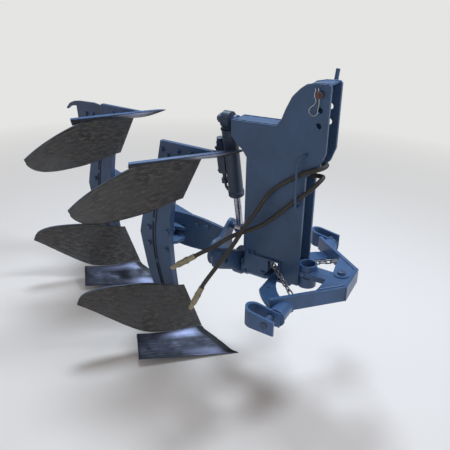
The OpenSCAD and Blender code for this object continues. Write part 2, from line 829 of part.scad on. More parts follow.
// Hitch frame, drawn straight about its pivot and turned by the swing
module on_pivot() {
  translate([pivot_x, 0, 0]) rotate([0, 0, swing]) children();
}

arm_low = hitch_low + hitch_plate_t;
arm_high = arm_low + arm_h;
arm_wide = arm_t * sqrt(2) / 2;
arm_end_x = -186;

// Plan of the far arm, cut square at the nose
arm_plan = [
  [hitch_nose, arm_line + arm_wide - hitch_nose], [arm_end_x + arm_wide / 2, arm_line + arm_wide / 2 - arm_end_x],
  [arm_end_x - arm_wide / 2, arm_line - arm_wide / 2 - arm_end_x], [hitch_nose, arm_line - arm_wide - hitch_nose]
];

module hitch_plate(z) {
  inner = arm_line - arm_wide;
  translate([0, 0, z]) linear_extrude(hitch_plate_t) difference() {
    polygon([
      [hitch_nose, hitch_nose - inner], [hitch_nose, inner - hitch_nose], [-26, inner + 26], [-52, inner + 52],
      [-44, 60], [-36, 0], [-44, -60], [-52, -inner - 52], [-26, -inner - 26]
    ]);
    circle(pivot_r + running_gap);
  }
}

module hitch_plates() {
  color(paint) on_pivot() {
    hitch_plate(arm_low);
    hitch_plate(arm_high - hitch_plate_t);
    translate([hitch_nose, -nose_half, arm_low]) cube([nose_t, 2 * nose_half, arm_h]);
  }
}

module hitch_arm(side) {
  color(paint) on_pivot() translate([0, 0, arm_low]) linear_extrude(arm_h)
    polygon([for (p = arm_plan) [p[0], side * p[1]]]);
}

band_mid = (band_inner + band_outer) / 2;

// The band ends flush with the arms' outer faces
module band_room() {
  back = -300;
  outer = arm_line + arm_wide;
  polygon([[0, outer], [back, outer - back], [back, back - outer], [0, -outer]]);
}

module swing_band() {
  steps = 24;
  function at(r, a) = [-r * cos(a), r * sin(a)];
  color(paint) on_pivot() translate([0, 0, hitch_low]) linear_extrude(hitch_plate_t) difference() {
    intersection() {
      difference() {
        circle(band_outer, $fn = 180);
        circle(band_inner, $fn = 180);
      }
      polygon(concat([[0, 0]], [for (a = [-band_half_angle, band_half_angle]) at(2 * band_outer, a)]));
      band_room();
    }
    for (a = [-26.3, -swing, swing, 26.3]) translate(at(band_mid, a)) circle(band_hole_r);
  }
}

module link_bracket(side) {
  inner = bracket_out - bracket_w;
  hole_z = hitch_low + 28;
  front = -link_back + bracket_ahead;
  rear = front - bracket_len;
  bend_r = bracket_w / 2;
  color(paint) on_pivot() mirror([0, side < 0 ? 1 : 0, 0]) difference() {
    union() {
      difference() {
        translate([16 - link_back, inner + 1, hole_z - 4]) rotate([90, 0, 0]) cylinder(r = boss_r, h = inner - 220);
        inside_arm_face();
      }
      intersection() {
        linear_extrude(2 * axis_z) difference() {
          union() {
            translate([rear + bend_r, inner]) square([bracket_len - bend_r, bracket_w]);
            translate([rear + bend_r, inner + bend_r]) circle(bend_r);
          }
          translate([rear + bend_r, inner + bracket_t]) square([bracket_len, bracket_w - 2 * bracket_t]);
          translate([rear + bend_r, inner + bend_r]) circle(bend_r - bracket_t);
        }
        upright(inner - 1, bracket_out + 1) polygon([
          [rear - 1, hole_z - 22], [front + 1, hole_z - 36], [front + 1, hole_z + 21], [rear - 1, hole_z + 49]
        ]);
      }
    }
    translate([-link_back, inner - 20, hole_z]) rotate([-90, 0, 0]) cylinder(r = lower_hole_r, h = bracket_out);
  }
}

// What lies on the inner side of the far arm's outer face
module inside_arm_face() {
  outer = arm_line + arm_wide;
  translate([0, 0, 400]) linear_extrude(300) polygon([[200, outer - 200], [-400, outer + 400], [-400, -200]]);
}

module pivot_bolt() {
  low = arm_low - 16;
  high = arm_high;
  color(paint) translate([pivot_x, 0, 0]) {
    translate([0, 0, low]) cylinder(r = pivot_r, h = high + 16 - low);
    translate([0, 0, high]) cylinder(r = 30, h = 5);
    translate([0, 0, high + 5]) cylinder(r = 16, h = 8);
    translate([0, 0, low]) cylinder(r = 23, h = 16, $fn = 6);
  }
}

// One oval chain link lying along X, swept round its loop
link_rings = 12;
link_sides = 8;

module chain_link(len, wide, r) {
  bend = wide / 2 - r;
  straight = (len - wide) / 2;
  function loop(k) =
    let (a = 360 * (k + 0.5) / link_rings, end = cos(a) > 0 ? 1 : -1)
    [[end * straight + bend * cos(a), bend * sin(a), 0], [cos(a), sin(a), 0]];
  points = [for (k = [0:link_rings - 1], m = [0:link_sides - 1])
    let (at = loop(k), b = 360 * m / link_sides)
    at[0] + r * cos(b) * at[1] + [0, 0, r * sin(b)]
  ];
  function id(k, m) = (k % link_rings) * link_sides + m % link_sides;
  faces = [for (k = [0:link_rings - 1], m = [0:link_sides - 1]) each [
    [id(k, m), id(k, m + 1), id(k + 1, m + 1)], [id(k, m), id(k + 1, m + 1), id(k + 1, m)]
  ]];
  polyhedron(points, faces);
}

module chain_run(from, to, count) {
  v = to - from;
  pitch = norm(v) / count;
  heading = atan2(v[1], v[0]);
  drop = atan2(-v[2], norm([v[0], v[1]]));
  translate(from) rotate([0, drop, heading]) for (k = [0:count - 1])
    translate([(k + 0.5) * pitch, 0, 0]) rotate([90 * (k % 2), 0, 0])
      chain_link(pitch + 4 * chain_wire + 0.5, chain_w, chain_wire);
}

module retaining_chains() {
  color(bright_steel) {
    translate([180, -plate_out - 12, notch_head - 26]) cube([8, 24, 26]);
    translate([288, plate_out, 536]) cube([8, 14, 22]);
    chain_run([190, -plate_out - 10, 568], [329, -154, 512], 7);
    chain_run([292, plate_out + 14, 547], [390, 138, 556], 5);
  }
}

// Hose tube: rings square to the route, swept along its points
function smooth_point(p, i, t) =
  let (n = len(p) - 1, a = p[max(i - 1, 0)], b = p[i], c = p[min(i + 1, n)], d = p[min(i + 2, n)])
  0.5 * (2 * b + (c - a) * t + (2 * a - 5 * b + 4 * c - d) * t * t + (3 * b - a - 3 * c + d) * t * t * t);

function smoothed(p, parts) = concat(
  [for (i = [0:len(p) - 2], k = [0:parts - 1]) smooth_point(p, i, k / parts)], [p[len(p) - 1]]
);

module tube_along(route, r, aside = [0, 1, 0]) {
  sides = 10;
  p = smoothed(route, 2);
  n = len(p);
  rings = [for (i = [0:n - 1])
    let (d = route_dir(p, i), u = cross_unit(d, aside), w = cross(d, u))
    [for (k = [0:sides - 1]) p[i] + r * (cos(360 * k / sides) * u + sin(360 * k / sides) * w)]
  ];
  polyhedron(
    [for (ring = rings) each ring],
    concat(
      [for (i = [0:n - 2], k = [0:sides - 1]) let (m = (k + 1) % sides)
        [i * sides + k, i * sides + m, (i + 1) * sides + m, (i + 1) * sides + k]],
      [[for (k = [sides - 1:-1:0]) k], [for (k = [0:sides - 1]) (n - 1) * sides + k]]
    )
  );
}

module hose(route) {
  color(rubber) tube_along(route, hose_d / 2);
}

// A coupling at the end of a hose, in line with it
module coupling(route) {
  last = route[len(route) - 1];
  v = route_dir(smoothed(route, 2), 2 * len(route) - 2);
  heading = atan2(v[1], v[0]);
  tilt = acos(v[2]);
  color(zinc) translate(last) rotate([0, tilt, heading]) {
    cylinder(r = ferrule_r, h = 34);
    translate([0, 0, 34]) cylinder(r = ferrule_r + 3, h = 16, $fn = 6);
    translate([0, 0, 50]) cylinder(r = ferrule_r + 1, h = coupling_len - 80);
    translate([0, 0, coupling_len - 30]) cylinder(r = ferrule_r - 2, h = 30);
  }
}

place() tower_plate(-1);  // tower_plate_near
place() tower_plate(1);  // tower_plate_far
place() tower_strip();
place() column_web();
place() shaft_housing();
place() tower_tongue();
place() foot_socket();
place() band_keeper();
place() top_link_pin();
place() hose_hook();
place() hose_ports();
place() cylinder_pin();
place() hitch_plates();
place() hitch_arm(-1);  // hitch_arm_near
place() hitch_arm(1);  // hitch_arm_far
place() swing_band();
place() link_bracket(-1);  // link_bracket_near
place() link_bracket(1);  // link_bracket_far
place() pivot_bolt();
place() retaining_chains();
place() cylinder_barrel();
place() reversing_valve();
place() cylinder_rod();
place() crank_pin();
place() turnover_shaft();
place() crank_plate();
place() stop_arm();
place() beam_side_plate();
place() beam_flanges();
place() main_beam();
place() leg(front_lower);  // leg_front
place() leg(rear_lower);  // leg_rear
place() leg_clamps();
place() frog(front_lower);  // frog_front_lower
place() frog(front_upper);  // frog_front_upper
place() frog(rear_lower);  // frog_rear_lower
place() frog(rear_upper);  // frog_rear_upper
place() moldboard(front_lower);  // moldboard_front_lower
place() moldboard(front_upper);  // moldboard_front_upper
place() moldboard(rear_lower);  // moldboard_rear_lower
place() moldboard(rear_upper);  // moldboard_rear_upper
place() share(front_lower);  // share_front_lower
place() share(front_upper);  // share_front_upper
place() share(rear_lower);  // share_rear_lower
place() share(rear_upper);  // share_rear_upper
place() landside(front_lower, false);  // landside_front_lower
place() landside(front_upper, false);  // landside_front_upper
place() landside(rear_lower, true);  // landside_rear_lower
place() landside(rear_upper, true);  // landside_rear_upper
place() hose(hose_a_route);  // hose_a
place() hose(hose_b_route);  // hose_b
place() coupling(hose_a_route);  // coupling_a
place() coupling(hose_b_route);  // coupling_b
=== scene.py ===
import json

import bpy
import numpy as np
from mathutils import Matrix, Vector


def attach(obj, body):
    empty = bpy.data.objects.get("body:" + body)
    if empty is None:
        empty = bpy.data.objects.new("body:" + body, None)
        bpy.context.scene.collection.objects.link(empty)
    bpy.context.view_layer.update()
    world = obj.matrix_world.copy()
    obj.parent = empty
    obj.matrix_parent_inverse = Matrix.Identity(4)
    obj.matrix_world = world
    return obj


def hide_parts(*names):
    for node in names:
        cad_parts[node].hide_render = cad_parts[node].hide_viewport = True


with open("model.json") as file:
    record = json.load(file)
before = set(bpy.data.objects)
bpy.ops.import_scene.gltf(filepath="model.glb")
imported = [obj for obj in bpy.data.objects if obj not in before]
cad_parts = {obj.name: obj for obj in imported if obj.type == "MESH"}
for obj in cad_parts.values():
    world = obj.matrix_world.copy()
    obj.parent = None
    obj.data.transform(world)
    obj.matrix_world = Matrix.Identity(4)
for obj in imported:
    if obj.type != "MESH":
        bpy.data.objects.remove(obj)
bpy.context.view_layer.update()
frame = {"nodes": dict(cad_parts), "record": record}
nodes = frame["nodes"]


# Camera: a person's view from the tractor side, on the near right of the plough.
# It looks down at the row of bodies from eye height, a little tilted.
EYE = (1.65332, -2.02635, 1.75)
LOOK = Vector((-0.495205, 0.762550, -0.416281))
TILTED_UP = Vector((-0.242781, 0.338602, 0.909069))
SENSOR_WIDTH, LENS = 36.0, 48.0

camera = bpy.data.objects.new("camera", bpy.data.cameras.new("camera"))
camera.data.sensor_width = SENSOR_WIDTH
camera.data.lens = LENS
camera.matrix_world = (
    Matrix.Translation(EYE)
    @ Matrix((LOOK.cross(TILTED_UP), TILTED_UP, -LOOK)).transposed().to_4x4()
)
bpy.context.scene.collection.objects.link(camera)
bpy.context.scene.camera = camera


# Hoses: two rubber pressure hoses from the port block between the tower plates.
# They leave forwards, turn round the tower's front edge and hang down the near
# side to their couplings, held by the wire hook and by their own stiffness.
PLOUGH_ORIGIN = np.array([-433.86258, 7.50563, 0.0])
HOSE_RADIUS = 0.009
HOSE_STEPS = 10
HOSE_SIDES = 20
HOSE_A_ROUTE = [
    (270, 0, 1000), (300, 0, 1008), (330, 0, 1016), (362, -12, 1024), (375, -32, 1026),
    (368, -54, 1020), (346, -64, 1011), (321, -64, 1000), (290, -64, 983), (260, -64, 963),
    (214, -65, 929), (170, -70, 889), (144, -84, 848), (124, -104, 804), (98, -132, 752),
    (81, -160, 706), (58, -190, 650), (32, -220, 597), (9, -245, 552), (-14, -268, 505),
    (-22, -273, 486),
]
HOSE_B_ROUTE = [
    (270, 0, 960), (300, 0, 964), (330, 0, 968), (357, -16, 974), (365, -38, 974),
    (359, -56, 962), (345, -64, 943), (319, -64, 915), (268, -66, 867), (217, -70, 813),
    (182, -80, 777), (148, -95, 747), (96, -125, 718), (60, -150, 702), (19, -175, 673),
    (-16, -200, 643), (-54, -222, 618), (-82, -238, 598),
]
ACROSS = (0.0, 1.0, 0.0)


def in_place(points_mm):
    """Points measured from the front share's tip, in mm, moved to the part's frame in metres."""
    return (np.asarray(points_mm, float) - PLOUGH_ORIGIN) / 1000.0


def smooth_line(points, steps):
    """Smooth curve through the points: each span is a cubic, and its slope at a point is
    half the chord between that point's neighbours."""
    p = np.asarray(points, float)
    p = np.vstack([p[:1], p, p[-1:]])
    t = np.arange(steps)[None, :, None] / steps
    a, b, c, d = (p[k : len(p) - 3 + k, None, :] for k in range(4))
    spans = 0.5 * (
        2 * b + (c - a) * t + (2 * a - 5 * b + 4 * c - d) * t**2
        + (3 * b - a - 3 * c + d) * t**3
    )
    return np.vstack([spans.reshape(-1, 3), p[-1:]])


def along(path):
    """Unit directions of a path, from the points on either side, and the length so far."""
    steps = np.gradient(path, axis=0)
    heading = steps / np.linalg.norm(steps, axis=1)[:, None]
    walked = np.concatenate([[0], np.cumsum(np.linalg.norm(np.diff(path, axis=0), axis=1))])
    return heading, walked


def grid_faces(rows, columns, closed):
    """Quads of a grid of points stored row by row; closed joins the last column to the first."""
    across = columns if closed else columns - 1
    i, j = np.meshgrid(np.arange(rows - 1), np.arange(across), indexing="ij")
    k = (j + 1) % columns
    quads = np.stack(
        [i * columns + j, i * columns + k, (i + 1) * columns + k, (i + 1) * columns + j], -1
    )
    return quads.reshape(-1, 4)


def tube_faces(rows, sides):
    """Quads of a tube's wall, row by row, and one flat face over each end."""
    last = (rows - 1) * sides
    ends = [list(range(sides - 1, -1, -1)), list(range(last, last + sides))]
    return grid_faces(rows, sides, True).tolist() + ends


def swept_tube(path, radius, sides=16, aside=ACROSS):
    """Circle of the given radius carried along the path, square to it. The radius may
    differ along the path."""
    path = np.asarray(path, float)
    heading, walked = along(path)
    u = np.cross(heading, np.asarray(aside, float))
    u /= np.linalg.norm(u, axis=1)[:, None]
    w = np.cross(heading, u)
    turn = 2 * np.pi * np.arange(sides) / sides
    r = np.broadcast_to(np.asarray(radius, float), (len(path),))[:, None, None]
    ring = np.cos(turn)[None, :, None] * u[:, None] + np.sin(turn)[None, :, None] * w[:, None]
    points = (path[:, None] + r * ring).reshape(-1, 3)
    uv = np.stack(
        [np.repeat(walked, sides), np.tile(np.arange(sides) / sides, len(path))], -1
    )
    return points, tube_faces(len(path), sides), uv


def joined(parts):
    """Several (points, faces, uv) lists put into one."""
    points, faces, uvs, start = [], [], [], 0
    for p, f, uv in parts:
        points.append(p)
        uvs.append(uv)
        faces += [[start + v for v in face] for face in f]
        start += len(p)
    return np.vstack(points), faces, np.vstack(uvs)


def new_piece(name, shape, material, smooth=True):
    """Mesh object from points, faces and one UV pair for each point."""
    points, faces, uv = shape
    mesh = bpy.data.meshes.new(name)
    mesh.from_pydata(points.tolist(), [], faces)
    mesh.update()
    corners = np.zeros(len(mesh.loops), np.int64)
    mesh.loops.foreach_get("vertex_index", corners)
    layer = mesh.uv_layers.new(name="UVMap")
    layer.data.foreach_set("uv", uv[corners].astype(np.float32).ravel())
    mesh.polygons.foreach_set("use_smooth", np.full(len(mesh.polygons), smooth))
    mesh.materials.append(material)
    piece = bpy.data.objects.new(name, mesh)
    bpy.context.scene.collection.objects.link(piece)
    return piece


def set_inputs(tree, made, inputs):
    """Inputs of a shader node, each a value or another node's output."""
    for key, value in inputs.items():
        if isinstance(value, bpy.types.NodeSocket):
            tree.links.new(value, made.inputs[key])
        else:
            made.inputs[key].default_value = value
    return made


def add_node(tree, kind, inputs=None, **settings):
    """A shader node with its settings and inputs."""
    made = tree.nodes.new("ShaderNode" + kind)
    for key, value in settings.items():
        setattr(made, key, value)
    return set_inputs(tree, made, inputs or {})


def coordinates(tree, kind):
    """Object coordinates or the piece's own UV map."""
    return add_node(tree, "TexCoord").outputs[kind]


def mixed(tree, factor, first, second):
    """The colour between first and second at the given factor."""
    return add_node(tree, "Mix", {0: factor, 6: first, 7: second}, data_type="RGBA").outputs[2]


def worked_out(tree, how, a, b):
    """One step of arithmetic on two values."""
    return add_node(tree, "Math", {0: a, 1: b}, operation=how).outputs[0]


def sum_of(tree, a, b):
    """The two values added."""
    return worked_out(tree, "ADD", a, b)


def product_of(tree, a, b):
    """The two values multiplied."""
    return worked_out(tree, "MULTIPLY", a, b)


def band(tree, value, low, high, to_low=0.0, to_high=1.0):
    """Value brought from low..high to to_low..to_high, held at both ends."""
    made = add_node(
        tree, "MapRange", {0: value, 1: low, 2: high, 3: to_low, 4: to_high}, clamp=True
    )
    return made.outputs[0]


def new_group(name, inputs, outputs):
    """A shader node group with named sockets: (name, socket type, default) and (name, type)."""
    group = bpy.data.node_groups.new(name, "ShaderNodeTree")
    for label, kind, default in inputs:
        socket = group.interface.new_socket(label, in_out="INPUT", socket_type=kind)
        socket.default_value = default
    for label, kind in outputs:
        group.interface.new_socket(label, in_out="OUTPUT", socket_type=kind)
    return group, group.nodes.new("NodeGroupInput"), group.nodes.new("NodeGroupOutput")


def use_group(tree, group, inputs):
    """A node group placed in a material with its own inputs."""
    made = tree.nodes.new("ShaderNodeGroup")
    made.node_tree = group
    return set_inputs(tree, made, inputs)


def build_clouds():
    """Clouds: large soft patches and fine specks on Object coordinates."""
    group, given, out = new_group(
        "clouds",
        [("Scale", "NodeSocketFloat", 6.0), ("Speck scale", "NodeSocketFloat", 90.0)],
        [("Patches", "NodeSocketFloat"), ("Specks", "NodeSocketFloat")],
    )
    place = coordinates(group, "Object")
    patches = add_node(
        group, "TexNoise",
        {"Vector": place, "Scale": given.outputs["Scale"], "Detail": 5.0, "Roughness": 0.6,
         "Distortion": 0.6},
    )
    specks = add_node(
        group, "TexNoise",
        {"Vector": place, "Scale": given.outputs["Speck scale"], "Detail": 3.0},
    )
    for label, noise in (("Patches", patches), ("Specks", specks)):
        group.links.new(band(group, noise.outputs["Fac"], 0.3, 0.7), out.inputs[label])
    return group


def build_streaks():
    """Streaks: noise drawn out along one way of the surface, as brushing or scouring leaves."""
    group, given, out = new_group(
        "streaks",
        [
            ("Vector", "NodeSocketVector", (0.0, 0.0, 0.0)),
            ("Stretch", "NodeSocketVector", (4.0, 90.0, 90.0)),
            ("Sharpness", "NodeSocketFloat", 0.2),
        ],
        [("Streaks", "NodeSocketFloat")],
    )
    drawn = add_node(
        group, "VectorMath",
        {0: given.outputs["Vector"], 1: given.outputs["Stretch"]}, operation="MULTIPLY",
    )
    noise = add_node(
        group, "TexNoise", {"Vector": drawn.outputs[0], "Scale": 1.0, "Detail": 4.0}
    )
    half = given.outputs["Sharpness"]
    low = worked_out(group, "SUBTRACT", 0.5, half)
    high = worked_out(group, "ADD", 0.5, half)
    group.links.new(band(group, noise.outputs["Fac"], low, high), out.inputs["Streaks"])
    return group


def build_rub():
    """Rub: a mask that is 1 on outer and inner edges, where a rounded normal leaves the
    face's own, broken up by noise. It marks rubbed edges, and on the enamel also a painted highlight."""
    group, given, out = new_group(
        "rub",
        [("Width", "NodeSocketFloat", 0.004), ("Break up", "NodeSocketFloat", 60.0)],
        [("Rub", "NodeSocketFloat"), ("Rounded", "NodeSocketVector")],
    )
    rounded = add_node(group, "Bevel", {"Radius": given.outputs["Width"]}, samples=6)
    own = add_node(group, "NewGeometry").outputs["Normal"]
    match = add_node(
        group, "VectorMath", {0: rounded.outputs[0], 1: own}, operation="DOT_PRODUCT"
    )
    edge = band(group, match.outputs["Value"], 0.995, 0.86)
    noise = add_node(
        group, "TexNoise",
        {"Vector": coordinates(group, "Object"), "Scale": given.outputs["Break up"], "Detail": 3.0},
    )
    broken = band(group, noise.outputs["Fac"], 0.38, 0.62)
    group.links.new(product_of(group, edge, broken), out.inputs["Rub"])
    group.links.new(rounded.outputs[0], out.inputs["Rounded"])
    return group


clouds = build_clouds()
streaks = build_streaks()
rub = build_rub()


def cloud_marks(tree, scale, speck_scale):
    """Patches and specks of the cloud group."""
    made = use_group(tree, clouds, {"Scale": scale, "Speck scale": speck_scale})
    return made.outputs["Patches"], made.outputs["Specks"]


def streak_marks(tree, place, stretch, sharpness):
    """Marks of the streak group on the given coordinates."""
    made = use_group(
        tree, streaks, {"Vector": place, "Stretch": stretch, "Sharpness": sharpness}
    )
    return made.outputs["Streaks"]


def edge_marks(tree, width, break_up):
    """Mask of the edges, rubbed and on the enamel also a painted highlight, and the rounded normal."""
    made = use_group(tree, rub, {"Width": width, "Break up": break_up})
    return made.outputs["Rub"], made.outputs["Rounded"]


def new_material(name):
    """A material with its node tree and the shader that shows it."""
    material = bpy.data.materials.new(name)
    material.use_nodes = True
    tree = material.node_tree
    tree.nodes.clear()
    surface = tree.nodes.new("ShaderNodeBsdfPrincipled")
    out = tree.nodes.new("ShaderNodeOutputMaterial")
    tree.links.new(surface.outputs["BSDF"], out.inputs["Surface"])
    return material, tree, surface


def feed(tree, surface, colour, roughness, height, depth, normal=None):
    """Colour, roughness and relief of a finish into its shader."""
    tree.links.new(colour, surface.inputs["Base Color"])
    tree.links.new(roughness, surface.inputs["Roughness"])
    bump = add_node(tree, "Bump", {"Height": height, "Distance": depth, "Strength": 0.6})
    if normal is not None:
        tree.links.new(normal, bump.inputs["Normal"])
    tree.links.new(bump.outputs[0], surface.inputs["Normal"])


RUBBER_BLACK, RUBBER_FADED = (0.022, 0.020, 0.019, 1), (0.052, 0.046, 0.040, 1)
RUBBER_DUST = (0.10, 0.09, 0.075, 1)


def hose_rubber():
    """Black-brown rubber cover with dust in a faint wrapped weave."""
    material, tree, surface = new_material("hose_rubber")
    patches, specks = cloud_marks(tree, scale=14.0, speck_scale=260.0)
    wrap = add_node(
        tree, "Mapping", {"Vector": coordinates(tree, "UV"), "Scale": (420.0, 14.0, 1.0)}
    )
    weave = add_node(
        tree, "TexWave", {"Vector": wrap.outputs[0], "Scale": 0.5, "Distortion": 1.2},
        wave_type="BANDS", bands_direction="DIAGONAL",
    )
    dusty = mixed(tree, patches, RUBBER_BLACK, RUBBER_FADED)
    colour = mixed(tree, band(tree, specks, 0.7, 1.0, 0, 0.5), dusty, RUBBER_DUST)
    roughness = band(tree, patches, 0, 1, 0.42, 0.68)
    feed(tree, surface, colour, roughness, sum_of(tree, weave.outputs["Fac"], specks), 0.0004)
    surface.inputs["Specular IOR Level"].default_value = 0.35
    return material


rubber = hose_rubber()
hose_lines = {}
for label, route in (("a", HOSE_A_ROUTE), ("b", HOSE_B_ROUTE)):
    line = smooth_line(in_place(route), HOSE_STEPS)
    hose_lines[label] = line
    hose = new_piece("hose_line_" + label, swept_tube(line, HOSE_RADIUS, HOSE_SIDES), rubber)
    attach(hose, "headstock")
    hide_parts("hose_" + label)


# Couplings: turned steel hose tails with a crimped ferrule, a hexagon nut, a sliding
# knurled sleeve and a bright nose. They are screwed on the free ends of the hoses.
COUPLING_PROFILE = [
    (0.000, 0.0093), (0.000, 0.0112), (0.002, 0.0120), (0.009, 0.0120), (0.010, 0.0110),
    (0.012, 0.0110), (0.013, 0.0120), (0.020, 0.0120), (0.021, 0.0110), (0.023, 0.0110),
    (0.024, 0.0120), (0.032, 0.0119), (0.034, 0.0100), (0.050, 0.0100), (0.051, 0.0126),
    (0.058, 0.0130), (0.060, 0.0122), (0.062, 0.0130), (0.064, 0.0122), (0.066, 0.0130),
    (0.068, 0.0122), (0.070, 0.0130), (0.084, 0.0130), (0.087, 0.0118), (0.088, 0.0100),
    (0.096, 0.0100), (0.097, 0.0088), (0.104, 0.0088), (0.106, 0.0099), (0.112, 0.0099),
    (0.118, 0.0080), (0.118, 0.0050), (0.108, 0.0046),
]
NUT_PROFILE = [(0.034, 0.0128), (0.0352, 0.0148), (0.0488, 0.0148), (0.050, 0.0128)]
NUT_SIDES = 24
HEXAGON = 6
UV_ROUND = 0.02


def turned(profile, sides=32, flats=0):
    """Closed solid of revolution about Z from (height, radius) pairs. With flats the
    circle is cut to a regular polygon, the radius being that of its corners."""
    profile = np.asarray(profile, float)
    turn = 2 * np.pi * np.arange(sides) / sides
    keep = np.ones(sides)
    if flats:
        sector = 2 * np.pi / flats
        keep = np.cos(sector / 2) / np.cos((turn % sector) - sector / 2)
    r = profile[:, 1:2] * keep[None]
    points = np.stack(
        [r * np.cos(turn), r * np.sin(turn), np.repeat(profile[:, :1], sides, 1)], -1
    ).reshape(-1, 3)
    uv = np.stack(
        [np.repeat(profile[:, 0], sides), np.tile(turn * UV_ROUND, len(profile))], -1
    )
    return points, tube_faces(len(profile), sides), uv


def set_down(shape, at, axis, spin=0.0):
    """A shape drawn about Z, turned so that Z points along axis, with its foot at a point."""
    points, faces, uv = shape
    turn = Vector(axis).to_track_quat("Z", "Y").to_matrix() @ Matrix.Rotation(spin, 3, "Z")
    return points @ np.array(turn).T + np.asarray(at, float), faces, uv


STEEL_SPOTS = (0.07, 0.045, 0.03, 1)


def plated_steel(name, colour, dark, metal, rough):
    """Zinc or bare steel, dulled and spotted, brighter where it rubs."""
    material, tree, surface = new_material(name)
    patches, specks = cloud_marks(tree, scale=30.0, speck_scale=320.0)
    edge_mask, _ = edge_marks(tree, width=0.0015, break_up=120.0)
    base = mixed(tree, patches, colour, dark)
    base = mixed(tree, band(tree, specks, 0.75, 1.0, 0, 0.7), base, STEEL_SPOTS)
    bright = tuple(min(1.0, c * 1.7) for c in colour[:3]) + (1,)
    base = mixed(tree, product_of(tree, edge_mask, 0.6), base, bright)
    roughness = band(tree, patches, 0, 1, rough, rough + 0.25)
    feed(tree, surface, base, roughness, specks, 0.0003)
    surface.inputs["Metallic"].default_value = metal
    return material


zinc = plated_steel(
    "zinc_plate", colour=(0.40, 0.36, 0.25, 1), dark=(0.26, 0.22, 0.15, 1), metal=0.7, rough=0.38
)
for label, line in hose_lines.items():
    down = line[-1] - line[-2]
    coupling = joined([turned(COUPLING_PROFILE), turned(NUT_PROFILE, NUT_SIDES, HEXAGON)])
    coupler = new_piece("coupler_" + label, set_down(coupling, line[-1], down), zinc, smooth=False)
    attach(coupler, "headstock")
    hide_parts("coupling_" + label)


# Frame paint: steel-blue enamel brushed by hand over the tower, beam and legs. It is
# glossy, with brush marks and specks of dirt, and its edges are painted lighter, partly as
# wear and partly as a painted highlight. The cylinder is painted darker, and the landsides are worn.
PAINT_DIRT = (0.030, 0.026, 0.024, 1)


def brushed_paint(name, light, dark, gloss, dirt):
    """Enamel between a light and a dark blue, with specks of dirt and lighter edges, partly wear and
    partly a painted highlight.
    """
    material, tree, surface = new_material(name)
    patches, specks = cloud_marks(tree, scale=5.0, speck_scale=160.0)
    brush = streak_marks(tree, coordinates(tree, "Object"), stretch=(60.0, 60.0, 7.0), sharpness=0.28)
    edge_mask, rounded = edge_marks(tree, width=0.0035, break_up=70.0)
    base = mixed(tree, patches, light, dark)
    base = mixed(tree, product_of(tree, brush, 0.22), base, dark)
    base = mixed(tree, band(tree, specks, 0.86, 1.0, 0, dirt), base, PAINT_DIRT)
    # Edges painted a lighter blue: partly wear, partly a painted highlight of the rounded edges.
    bright = tuple(min(1.0, c * 1.9 + 0.01) for c in light[:3]) + (1,)
    base = mixed(tree, product_of(tree, edge_mask, 0.55), base, bright)
    roughness = band(tree, sum_of(tree, patches, brush), 0, 2, gloss, gloss + 0.2)
    feed(tree, surface, base, roughness, sum_of(tree, brush, specks), 0.00025, rounded)
    surface.inputs["Specular IOR Level"].default_value = 0.4
    surface.inputs["Coat Weight"].default_value = 0.12
    surface.inputs["Coat Roughness"].default_value = 0.2
    return material


frame_paint = brushed_paint(
    "frame_paint", light=(0.040, 0.087, 0.186, 1), dark=(0.028, 0.057, 0.114, 1), gloss=0.34,
    dirt=0.7,
)
dark_paint = brushed_paint(
    "dark_paint", light=(0.028, 0.046, 0.084, 1), dark=(0.018, 0.026, 0.042, 1), gloss=0.36,
    dirt=0.6,
)
worn_paint = brushed_paint(
    "worn_paint", light=(0.042, 0.076, 0.165, 1), dark=(0.030, 0.042, 0.070, 1), gloss=0.38,
    dirt=0.9,
)


# Cylinder rod: a round bar with hard chrome, ground and polished, with fine marks round
# it. It is screwed into its eye and slides through the gland.
CHROME, CHROME_MARKS = (0.62, 0.62, 0.64, 1), (0.40, 0.40, 0.42, 1)


def ground_chrome():
    """Bright metal with fine marks round the rod and soft patches of oil."""
    material, tree, surface = new_material("chrome_rod")
    fine = streak_marks(tree, coordinates(tree, "Object"), stretch=(30.0, 30.0, 900.0), sharpness=0.3)
    patches, _ = cloud_marks(tree, scale=12.0, speck_scale=400.0)
    base = mixed(tree, fine, CHROME, CHROME_MARKS)
    feed(tree, surface, base, band(tree, patches, 0, 1, 0.12, 0.28), fine, 0.00005)
    surface.inputs["Metallic"].default_value = 1.0
    return material


chrome = ground_chrome()


# Moldboards: hot-pressed plates of hard steel, scoured by soil and smeared with it where
# it dried, with scratches along the furrow slice's path. Each stands behind its share.
# Each body's distance back and sideways from the front one, and which way up it stands.
BODIES = {
    "front_lower": (0.0, 0.0, 1), "front_upper": (0.0, 0.0, -1),
    "rear_lower": (-682.0, 335.0, 1), "rear_upper": (-682.0, 335.0, -1),
}
AXIS_HEIGHT = 505.0
BOARD_LOW = np.array(
    [(-214, -2, 74), (-274, -82, 77), (-345, -161, 64), (-391, -217, 89), (-583, -348, 206),
     (-598, -433, 272)], float,
)
BOARD_HIGH = np.array(
    [(-309, -17, 281), (-333, -71, 287), (-389, -146, 327), (-436, -220, 336), (-549, -402, 364),
     (-600, -424, 301)], float,
)
BOARD_THICK = 8.0
BOARD_HOLLOW = 22.0
HOLLOW_WAY = np.array([-0.7, 0.7, -0.1])
SEAM_GAP = 0.6 / 150
BOARD_STEPS = (97, 31)
BOARD_UV = (0.6, 0.22)
BACK_UV = 2.0
BOARD_STEEL, BOARD_STEEL_DARK = (0.088, 0.090, 0.094, 1), (0.044, 0.045, 0.048, 1)
SOIL_DARK, SOIL_LIGHT = (0.070, 0.064, 0.056, 1), (0.270, 0.240, 0.210, 1)
SCRATCHES, PITS, BLUED_EDGE = (0.13, 0.12, 0.11, 1), (0.016, 0.014, 0.013, 1), (0.09, 0.13, 0.26, 1)
BACK_PAINT, BACK_PAINT_DARK = (0.060, 0.118, 0.255, 1), (0.036, 0.062, 0.120, 1)
BACK_SPOTS = (0.040, 0.034, 0.030, 1)


